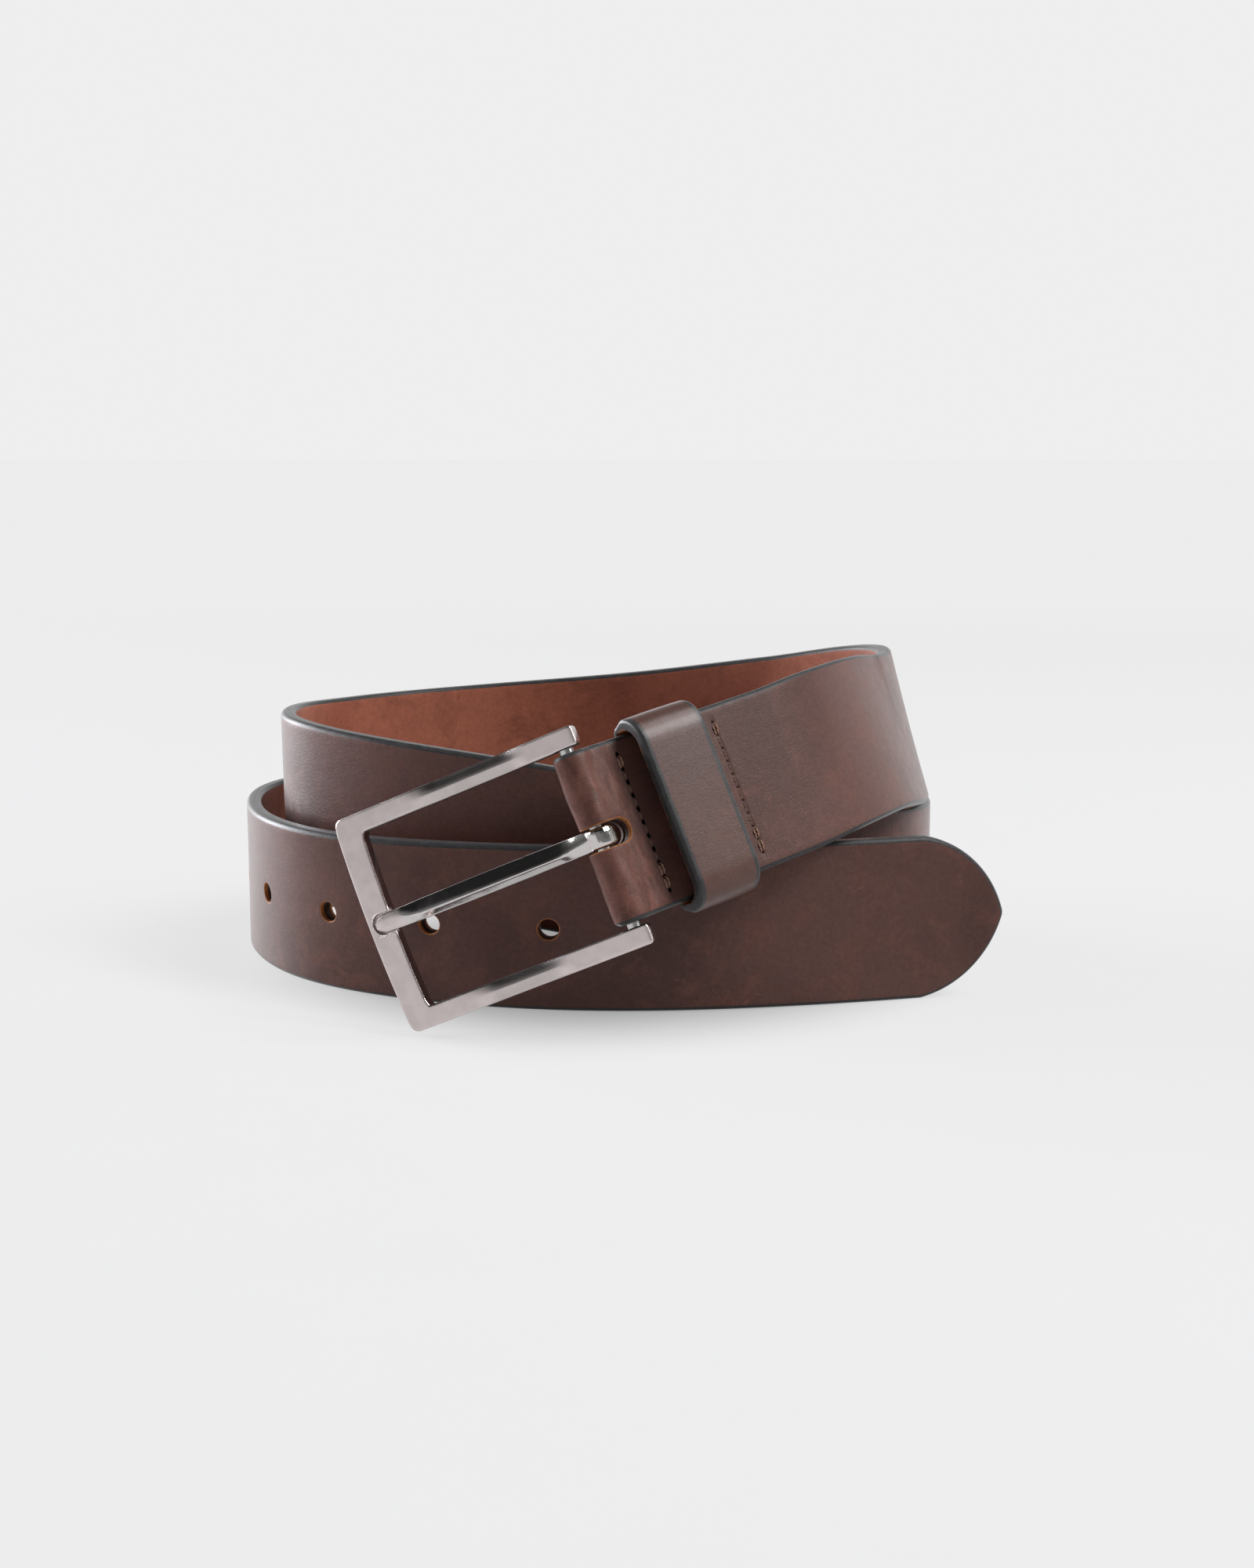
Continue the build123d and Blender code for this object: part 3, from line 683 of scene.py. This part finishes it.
def prong_mesh():
    """The shank: a ridged bar with a rounded ridge, small edge rounds and a flat tip."""
    table = np.array(SHANK)
    spots = np.concatenate([np.linspace(0.6, 45.6, 60), np.linspace(46, 49.5, 12)])
    points, flat, polish = [], [], []
    for d in spots:
        near = d + 1.6 * smoothstep(46 - d, 0, 3) * np.linspace(-1, 1, 7)
        half, ridge, shoulder, under = (np.interp(near, table[:, 0], column).mean() for column in table.T[1:])
        tip = smoothstep(d, 40, 45.5)
        section = [(-half, under + SHANK_EDGE), (-half + 0.07, under + 0.07), (-half + SHANK_EDGE, under)]
        section += [(half - SHANK_EDGE, under), (half - 0.07, under + 0.07), (half, under + SHANK_EDGE)]
        section += [(half, shoulder - 0.25), (half - 0.06, shoulder - 0.05)]
        peak = RIDGE_SHIFT * (1 - tip) * smoothstep(d, 2, 9)
        for q in np.concatenate([np.linspace(0.94, -0.05, 9), np.linspace(-0.15, -0.94, 11)]):
            away = abs(q - peak) / (1 - peak if q > peak else 1 + peak)
            facet = ridge - (ridge - shoulder) * away
            soft = ridge - (ridge - shoulder) * abs(q) ** 3
            blunt = 0.12 * math.exp(-(away / 0.12) ** 2)
            section.append((half * q, (facet - blunt) * (1 - tip) + soft * tip))
        section += [(-half + 0.06, shoulder - 0.05), (-half, shoulder - 0.25)]
        for y, h in section:
            points.append(frame_point(-d, y, h))
            flat.append((-d, y, h))
            polish.append(1 - 0.85 * smoothstep(d, 41, 45))
    faces = skin(len(spots), len(points) // len(spots))
    return new_mesh("prong_shank", points, faces, {"flat": np.array(flat), "polish": polish}, 30)


def eye_mesh():
    """The ring of the prong round the bar, its edges rounded and a fine line round each side."""
    side = [(EYE_BORE, 1.9), (1.6, 2.06), (2.35, 2.06), (2.45, 1.98), (2.6, 1.98)]
    side += [(2.8, 1.9), (3.0, 1.72), (3.14, 1.45), (3.2, 1.1), (3.2, 0.4)]
    profile = side + [(r, -y) for r, y in side[::-1]]
    turns = 64
    points, flat = [], []
    for k in range(turns):
        a = 2 * math.pi * k / turns
        for r, y in profile:
            points.append(frame_point(r * math.cos(a), y, r * math.sin(a)))
            flat.append((r * math.cos(a), y, r * math.sin(a)))
    faces = skin(turns, len(profile), closed=True)
    return new_mesh("prong_eye", points, faces, {"flat": np.array(flat), "polish": np.ones(len(points))}, 30)


prong = prong_mesh()
eye = eye_mesh()
tidy_normals(prong)
tidy_normals(eye)
boolean(prong, eye, "UNION")
boolean(prong, rod("bore_cutter", EYE_BORE, 5.0, 48), "DIFFERENCE")
prong.name = "polished_prong"
tidy_normals(prong, 28)


# -------------------- stitching: two-ply thread, one loop from hole to hole
def tube(line, radius, sides=7):
    """Points and faces of a round tube along a line, closed at both ends."""
    line = np.asarray(line)
    tangent = np.gradient(line, axis=0)
    tangent /= np.linalg.norm(tangent, axis=1)[:, None]
    side = np.cross(tangent, [0.3, 0.5, 0.81])
    side /= np.linalg.norm(side, axis=1)[:, None]
    other = np.cross(tangent, side)
    angles = np.linspace(0, 2 * math.pi, sides + 1)[:-1]
    points = []
    for p, s, o in zip(line, side, other):
        points += [p + radius * (s * math.cos(a) + o * math.sin(a)) for a in angles]
    return points, skin(len(line), sides)


THREAD_RADIUS, PLY = 0.2, 0.1
THREAD_SINK, TWIST_LENGTH = 0.55, 1.5


def stitch_row(name, row, surface, out, doubled):
    """Loops of a row of stitches on one face; out is -1 on the front and 1 on the back.

    Doubled rows have loose loops at both ends, marked in the attribute loose."""
    points, faces, loose = [], [], []

    def loop(low, high, shift, rise, slack, lit=0.0):
        t = np.linspace(0, 1, 22)
        z = low + (high - low) * (t - 0.02 * np.sin(2 * math.pi * t))
        lift = (rise + THREAD_SINK) * np.sin(math.pi * t) ** 0.45 - THREAD_SINK
        x = row + shift + slack * np.sin(math.pi * t)
        spin = 2 * math.pi * (t * (high - low) / TWIST_LENGTH)
        for phase in (0, math.pi):
            line = []
            for xx, zz, ll, ss in zip(x, z, lift, spin):
                px = xx + PLY * math.cos(ss + phase)
                py = surface + out * (ll + PLY * math.sin(ss + phase))
                line.append(BAR + px * END_ALONG + py * END_INWARD + zz * END_UP)
            p, f = tube(line, THREAD_RADIUS - PLY)
            faces.extend(tuple(k + len(points) for k in face) for face in f)
            points.extend(p)
            loose.extend([lit] * len(p))

    for k in range(STITCH_COUNT):
        low = (k - STITCH_COUNT / 2) * STITCH
        inset, rise = (0.48, -0.02) if row < ROWS[1] else (0.1, -0.12)
        loop(low + inset, low + STITCH - inset, 0.0, rise, 0.05 * math.sin(k * 2.3), 0.12)
        if doubled and k in (0, 1, STITCH_COUNT - 1):
            loop(low + 0.25, low + STITCH - 0.15, 0.3, 0.16, 0.12, 1.0)
            loop(low + 0.1, low + STITCH - 0.4, -0.28, 0.12, -0.1, 0.7)
    obj = new_mesh(name, points, faces, {"loose": loose}, 60)
    tidy_normals(obj, 60)
    return obj


stitches = []
for number, row in enumerate(ROWS, 1):
    for side, surface, out, doubled in (("needle", -GRAIN, -1, True), ("bobbin", GLUE + TAB, 1, False)):
        node = f"row_{number}_{side}_thread"
        stitches.append((stitch_row(f"stitches_row_{number}_{side}", row, surface, out, doubled), node))


# -------------------- materials
class Shader:
    """The nodes of a material or a world, with short calls for the ones used here."""

    def __init__(self, owner):
        self.owner = owner
        owner.use_nodes = True
        self.tree = owner.node_tree
        self.bsdf = self.tree.nodes.get("Principled BSDF")

    def link(self, value, socket):
        if isinstance(value, bpy.types.NodeSocket):
            self.tree.links.new(value, socket)
        else:
            socket.default_value = value

    def node(self, kind, output, inputs=None, **settings):
        """A node with its inputs linked or set, given back as one of its outputs."""
        n = self.tree.nodes.new(kind)
        for key, value in settings.items():
            setattr(n, key, value)
        for key, value in (inputs or {}).items():
            self.link(value, n.inputs[key])
        return n.outputs[output]

    def attribute(self, name, vector=False):
        return self.node("ShaderNodeAttribute", "Vector" if vector else "Fac", attribute_name=name)

    def stretch(self, vector, scale, shift=(0, 0, 0)):
        return self.node("ShaderNodeMapping", 0, {"Vector": vector, "Scale": scale, "Location": shift})

    def noise(self, vector, scale, detail=4.0, rough=0.5, twist=0.0):
        inputs = {"Vector": vector, "Scale": scale, "Detail": detail, "Roughness": rough, "Distortion": twist}
        return self.node("ShaderNodeTexNoise", "Fac", inputs)

    def cells(self, vector, scale, feature="F1"):
        inputs = {"Vector": vector, "Scale": scale}
        return self.node("ShaderNodeTexVoronoi", "Distance", inputs, feature=feature)

    def math(self, operation, a, b=0.0, c=0.0):
        return self.node("ShaderNodeMath", 0, {0: a, 1: b, 2: c}, operation=operation)

    def ramp(self, value, low, high, out_low=0.0, out_high=1.0):
        inputs = {"Value": value, "From Min": low, "From Max": high, "To Min": out_low, "To Max": out_high}
        return self.node("ShaderNodeMapRange", 0, inputs, interpolation_type="SMOOTHSTEP")

    def mix(self, share, a, b, blend="MIX"):
        a, b = ((*c, 1.0) if isinstance(c, tuple) else c for c in (a, b))
        return self.node("ShaderNodeMix", 2, {0: share, 6: a, 7: b}, data_type="RGBA", blend_type=blend)

    def mix_value(self, share, a, b):
        return self.node("ShaderNodeMix", 0, {0: share, 2: a, 3: b}, data_type="FLOAT")

    def grey(self, value):
        return self.node("ShaderNodeCombineColor", 0, {0: value, 1: value, 2: value})

    def part(self, vector, k):
        return self.node("ShaderNodeSeparateXYZ", k, {0: vector})

    def bump(self, height, distance, strength=1.0, below=None):
        inputs = {"Height": height, "Distance": distance, "Strength": strength}
        if below is not None:
            inputs["Normal"] = below
        return self.node("ShaderNodeBump", 0, inputs)

    def finish(self, color, rough, normal=None, metallic=0.0, **more):
        self.link(color, self.bsdf.inputs["Base Color"])
        self.link(rough, self.bsdf.inputs["Roughness"])
        self.link(metallic, self.bsdf.inputs["Metallic"])
        if normal is not None:
            self.link(normal, self.bsdf.inputs["Normal"])
        for key, value in more.items():
            self.link(value, self.bsdf.inputs[key.replace("_", " ")])
        return self.owner


EDGE_PAINT = (0.030, 0.029, 0.030)
RAW_LEATHER, RAW_DARK = (0.36, 0.135, 0.045), (0.16, 0.055, 0.02)
# painted shade: the dark deep in a belt hole or the slot, and inside an open needle hole
HOLE_WALL_SHADE, NEEDLE_HOLE_SHADE = (0.030, 0.013, 0.008), (0.006, 0.004, 0.003)


def leather(name, dark, light, warm, grain_size, gloss, raw_inside=False, folded=False, coat=0.0):
    """Smooth dyed leather: fine grain, soft colour changes, painted edges, raw hole walls, painted shade in
    the holes.
    """
    m = Shader(bpy.data.materials.new(name))
    flat = m.attribute("flat", vector=True)
    rim, hole = m.attribute("rim"), m.attribute("hole")
    broad = m.noise(flat, 0.022, 3, 0.5, 0.6)
    cloud = m.noise(flat, 0.11, 5, 0.62, 0.8)
    pores = m.cells(flat, 1.0 / grain_size)
    creased = m.cells(m.stretch(flat, (0.7, 1.0, 1.0)), 0.55 / grain_size, "DISTANCE_TO_EDGE")
    fine = m.noise(flat, 5.0, 3, 0.6)
    color = m.mix(m.ramp(broad, 0.36, 0.64), dark, light)
    color = m.mix(m.ramp(cloud, 0.46, 0.72, 0.0, 0.7), color, warm)
    if folded:
        # soft streaks across the strap where the leather is bent and rubbed
        spot = m.part(flat, 0)
        bend = m.math("MULTIPLY", m.ramp(spot, FOLD_TURN - 6, FOLD_TURN), m.ramp(spot, 6.0, 9.5, 1.0, 0.0))
        streak = m.ramp(m.noise(m.stretch(flat, (0.40, 0.09, 1.0)), 1.0, 5, 0.60, 1.2), 0.34, 0.66)
        rubbed = m.mix(streak, tuple(0.70 * c for c in warm), tuple(1.25 * c for c in warm))
        color = m.mix(m.math("MULTIPLY", bend, 0.75), color, rubbed)
    shade = m.ramp(m.noise(flat, 0.9, 4, 0.7), 0.25, 0.8, 0.86, 1.10)
    color = m.mix(1.0, color, m.grey(shade), "MULTIPLY")
    # short fine scratches, only in patches
    worn = m.ramp(m.noise(flat, 0.035, 2, 0.5), 0.48, 0.64)
    bent = m.stretch(flat, (0.16, 0.05, 1.0), (3.1, 7.7, 0))
    line = m.ramp(m.cells(bent, 2.2, "DISTANCE_TO_EDGE"), 0.0, 0.022, 1.0, 0.0)
    broken = m.ramp(m.noise(flat, 0.22, 3, 0.6), 0.50, 0.60)
    scratch = m.math("MULTIPLY", m.math("MULTIPLY", line, broken), worn)
    color = m.mix(m.math("MULTIPLY", scratch, 0.18), color, tuple(2.6 * c for c in warm))
    # painted edge and raw wall, with an uneven boundary; deeper in a hole the wall carries painted shade
    wobble = m.math("MULTIPLY_ADD", m.noise(flat, 0.8, 3, 0.6), 0.22, -0.11)
    edge = m.ramp(m.math("ADD", rim, wobble), 0.16, 0.30)
    edge = m.math("MULTIPLY", edge, m.ramp(hole, 2.4, 2.6, 1.0, 0.0))
    paint_tone = m.ramp(m.noise(flat, 0.6, 4, 0.7), 0.3, 0.8, 0.8, 1.35)
    paint = m.mix(1.0, EDGE_PAINT, m.grey(paint_tone), "MULTIPLY")
    mottle = m.ramp(m.noise(flat, 2.5, 4, 0.7), 0.3, 0.7)
    raw = m.mix(mottle, RAW_LEATHER, tuple(0.45 * c for c in RAW_LEATHER))
    # painted shade: below the tan rim at the grain side, the hole wall is painted dark
    raw = m.mix(m.ramp(m.part(flat, 2), 0.75, 1.25), HOLE_WALL_SHADE, raw)
    side = m.mix(m.ramp(hole, 0.4, 0.6), paint, raw)
    # painted shade: open needle holes are painted near black
    side = m.mix(m.ramp(hole, 1.4, 1.6), side, NEEDLE_HOLE_SHADE)
    color = m.mix(edge, color, side)
    rough = m.ramp(m.noise(flat, 0.4, 4, 0.6), 0.2, 0.8, gloss - 0.05, gloss + 0.07)
    rough = m.math("ADD", rough, m.math("MULTIPLY", scratch, 0.12))
    rough = m.mix_value(edge, rough, m.mix_value(m.ramp(hole, 0.4, 0.6), 0.42, 0.8))
    if raw_inside:
        inner = m.attribute("inner")
        fibre = m.noise(m.stretch(flat, (1.0, 0.25, 1.0)), 2.0, 5, 0.75)
        speck = m.ramp(m.math("ADD", inner, m.math("MULTIPLY_ADD", fibre, 0.9, -0.45)), 0.46, 0.58)
        color = m.mix(speck, color, m.mix(m.ramp(fibre, 0.3, 0.7), RAW_LEATHER, RAW_DARK))
        rough = m.mix_value(m.ramp(inner, 0.5, 0.9), rough, 0.85)
    grain = m.math("MULTIPLY_ADD", m.ramp(creased, 0.0, 0.12), 0.6, m.math("MULTIPLY", pores, 0.5))
    normal = m.bump(grain, 0.00003, 0.55)
    normal = m.bump(fine, 0.000018, 0.5, normal)
    normal = m.bump(m.noise(flat, 0.16, 3, 0.5), 0.00018, 0.5, normal)
    # more of a shine where the leather is seen at a low angle
    low_angle = m.node("ShaderNodeLayerWeight", "Facing")
    shine = m.ramp(low_angle, 0.35, 0.95, 0.14, 1.0)
    glaze = m.ramp(low_angle, 0.45, 0.95, coat, coat + 0.5)
    return m.finish(color, rough, normal, Specular_IOR_Level=shine, Coat_Weight=glaze, Coat_Roughness=0.30)


grain_leather = leather(
    "grain_leather", (0.066, 0.0320, 0.0265), (0.095, 0.047, 0.040), (0.116, 0.049, 0.038), 0.42, 0.40,
    folded=True,
)
keeper_leather = leather(
    "keeper_leather", (0.066, 0.0330, 0.0270), (0.086, 0.045, 0.037), (0.096, 0.045, 0.037), 0.42, 0.36,
    raw_inside=True, coat=0.25,
)
lining_leather = leather(
    "lining_leather", (0.205, 0.065, 0.040), (0.285, 0.098, 0.060), (0.165, 0.056, 0.035), 0.36, 0.50
)


def metal(name, satin, polished, satin_rough, polished_rough):
    """Plated metal, satin with fine brushing on its faces and polished where the attribute polish says so."""
    m = Shader(bpy.data.materials.new(name))
    flat = m.attribute("flat", vector=True)
    shine = m.ramp(m.attribute("polish"), 0.15, 0.75)
    brushed = m.noise(m.stretch(flat, (0.35, 2.2, 1.0)), 9.0, 4, 0.7)
    grainy = m.noise(flat, 14.0, 3, 0.6)
    tone = m.ramp(m.noise(flat, 0.3, 3, 0.5), 0.3, 0.7, 0.95, 1.05)
    color = m.mix(1.0, m.mix(shine, satin, polished), m.grey(tone), "MULTIPLY")
    rough_satin = m.ramp(brushed, 0.2, 0.8, satin_rough - 0.05, satin_rough + 0.06)
    rough_polish = m.ramp(brushed, 0.2, 0.8, polished_rough, polished_rough + 0.03)
    rough = m.mix_value(shine, rough_satin, rough_polish)
    normal = m.bump(brushed, 0.000006, 0.5)
    normal = m.bump(grainy, 0.000004, 0.4, normal)
    normal = m.bump(m.noise(flat, 0.14, 2, 0.5), 0.00025, 0.5, normal)
    return m.finish(color, rough, normal, 1.0)


NICKEL = (0.64, 0.565, 0.555)
buckle_metal = metal("satin_nickel", NICKEL, (0.50, 0.45, 0.44), 0.36, 0.17)
prong_metal = metal("polished_nickel", NICKEL, (0.60, 0.57, 0.56), 0.34, 0.07)


def cad_steel():
    """Plain steel with fine turning marks, for the bar and the staples."""
    m = Shader(bpy.data.materials.new("turned_steel"))
    spot = m.node("ShaderNodeTexCoord", "Object")
    rings = m.noise(m.stretch(spot, (1200.0, 1200.0, 9000.0)), 1.0, 3, 0.6)
    color = m.mix(m.ramp(rings, 0.3, 0.7), (0.50, 0.49, 0.48), (0.62, 0.60, 0.59))
    return m.finish(color, m.ramp(rings, 0.2, 0.8, 0.16, 0.30), m.bump(rings, 0.000005, 0.5), 1.0)


THREAD_TAN = (0.30, 0.15, 0.085)


def waxed_thread(name, dark, light):
    """Dark waxed thread, tan where the attribute loose says so."""
    m = Shader(bpy.data.materials.new(name))
    spot = m.node("ShaderNodeTexCoord", "Object")
    fibre = m.noise(spot, 5200.0, 4, 0.7)
    color = m.mix(m.ramp(fibre, 0.3, 0.75), dark, light)
    color = m.mix(m.attribute("loose"), color, THREAD_TAN)
    rough, normal = m.ramp(fibre, 0.2, 0.8, 0.45, 0.65), m.bump(fibre, 0.00002, 0.6)
    return m.finish(color, rough, normal, Sheen_Weight=0.2)


steel = cad_steel()
thread = waxed_thread("waxed_thread", (0.060, 0.030, 0.024), (0.125, 0.066, 0.050))


def paint(obj, material):
    obj.data.materials.clear()
    obj.data.materials.append(material)


for obj, material, node, body, slot in (
    (strap_outer, grain_leather, "strap_outer", "strap", "grain_leather"),
    (strap_lining, lining_leather, "strap_lining", "strap", "lining_leather"),
    (keeper, keeper_leather, "keeper", "keeper", "grain_leather"),
    (buckle, buckle_metal, "buckle_frame", "frame", "satin_metal"),
    (prong, prong_metal, "prong", "prong", "satin_metal"),
):
    paint(obj, material)
    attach(obj, body)
    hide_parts(node)
for obj, node in stitches:
    paint(obj, thread)
    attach(obj, "strap")
    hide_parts(node)
for node in ("buckle_bar", "keeper_staples"):
    paint(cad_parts[node], steel)

# -------------------- floor, light and camera
# the floor's glow under the belt, where it is dimmed as a painted shadow, near it and far out, and the
# distances over which it changes
FLOOR_GLOW = (0.40, 0.70, 0.84)
PAINTED_SHADOW_SPAN, GLOW_FAR = (0.035, 0.085), (0.35, 1.3)
FLOOR_TONE, FLOOR_DROP = (0.095, 0.095, 0.099), 0.00005


def stage_mesh(reach=30.0, cells=24):
    """A wide pale floor, its grid finer near the middle."""
    line = reach * np.linspace(-1, 1, cells + 1) ** 3
    points = [(x, y, 0.0) for y in line for x in line]
    corner = [j * (cells + 1) + i for j in range(cells) for i in range(cells)]
    faces = [(k, k + 1, k + cells + 2, k + cells + 1) for k in corner]
    mesh = bpy.data.meshes.new("floor")
    mesh.from_pydata(points, [], faces)
    obj = bpy.data.objects.new("floor", mesh)
    bpy.context.scene.collection.objects.link(obj)
    return obj


floor = stage_mesh()
floor.location.z = -FLOOR_DROP
m = Shader(bpy.data.materials.new("floor_paper"))
spot = m.node("ShaderNodeTexCoord", "Object")
tone = m.ramp(m.noise(spot, 40.0, 3, 0.6), 0.3, 0.7, 0.985, 1.0)
# the lamps reach less of the floor further out, so it glows more there and reads as one even tone
reach = m.node("ShaderNodeVectorMath", "Value", {0: spot}, operation="LENGTH")
glow = m.ramp(reach, *GLOW_FAR, FLOOR_GLOW[1], FLOOR_GLOW[2])
# painted shadow: under the middle of the belt the glow drops to its first, lowest value, standing in for the
# shade under and inside the coil
glow = m.math("MULTIPLY", glow, m.ramp(reach, *PAINTED_SHADOW_SPAN, FLOOR_GLOW[0], 1.0))
m.link(glow, m.bsdf.inputs["Emission Strength"])
tone = m.math("MULTIPLY", tone, m.ramp(reach, *GLOW_FAR, 1.0, 0.0))
floor_tone = m.mix(1.0, FLOOR_TONE, m.grey(tone), "MULTIPLY")
paint(floor, m.finish(floor_tone, 0.95, Specular_IOR_Level=0.0, Emission_Color=(1, 1, 1, 1)))


LIT_SPOT = (0, 0, 0.03)


def softbox(name, place, width, height, watts, color=(1, 1, 1)):
    """A rectangular lamp that faces the belt and that the camera doesn't see."""
    data = bpy.data.lights.new(name, "AREA")
    data.shape, data.size, data.size_y, data.energy, data.color = "RECTANGLE", width, height, watts, color
    obj = bpy.data.objects.new(name, data)
    obj.location = place
    obj.visible_camera = False
    obj.rotation_euler = (Vector(LIT_SPOT) - Vector(place)).to_track_quat("-Z", "Y").to_euler()
    bpy.context.scene.collection.objects.link(obj)


softbox("left_softbox", (-1.5, 0.5, 0.45), 1.4, 0.9, 56, (0.94, 0.95, 1.0))
softbox("right_softbox", (1.1, -0.35, 1.2), 0.7, 0.8, 31)
softbox("top_softbox", (0.7, 0.2, 1.4), 0.6, 0.6, 9)

BACKDROP, STUDIO_FRONT, STUDIO_TOP = 0.86, 0.25, 0.02
# the studio round the stage: bright near the horizon behind and beside it, dark in front and overhead
world = bpy.data.worlds.new("studio")
bpy.context.scene.world = world
w = Shader(world)
way = w.node("ShaderNodeTexCoord", "Generated")
overhead = w.ramp(w.part(way, 2), 0.25, 0.65)
around = w.ramp(w.part(way, 1), -0.55, 0.25, STUDIO_FRONT, BACKDROP)
around = w.ramp(w.part(way, 2), 0.03, 0.12, BACKDROP, around)
w.link(w.grey(w.mix_value(overhead, around, STUDIO_TOP)), w.tree.nodes["Background"].inputs["Color"])
w.tree.nodes["Background"].inputs["Strength"].default_value = 1.0

CAMERA_PLACE, CAMERA_TILT, LENS, SENSOR = (0.0046, -0.4996, 0.1147), 8.44, 51.37, 36.0
camera_data = bpy.data.cameras.new("camera")
camera_data.lens, camera_data.sensor_width = LENS, SENSOR
camera_data.clip_start, camera_data.clip_end = 0.05, 50.0
camera = bpy.data.objects.new("camera", camera_data)
camera.location = CAMERA_PLACE
camera.rotation_euler = (math.radians(90 - CAMERA_TILT), 0, 0)
bpy.context.scene.collection.objects.link(camera)
bpy.context.scene.camera = camera
bpy.context.scene.view_settings.view_transform = "Standard"
bpy.context.view_layer.update()
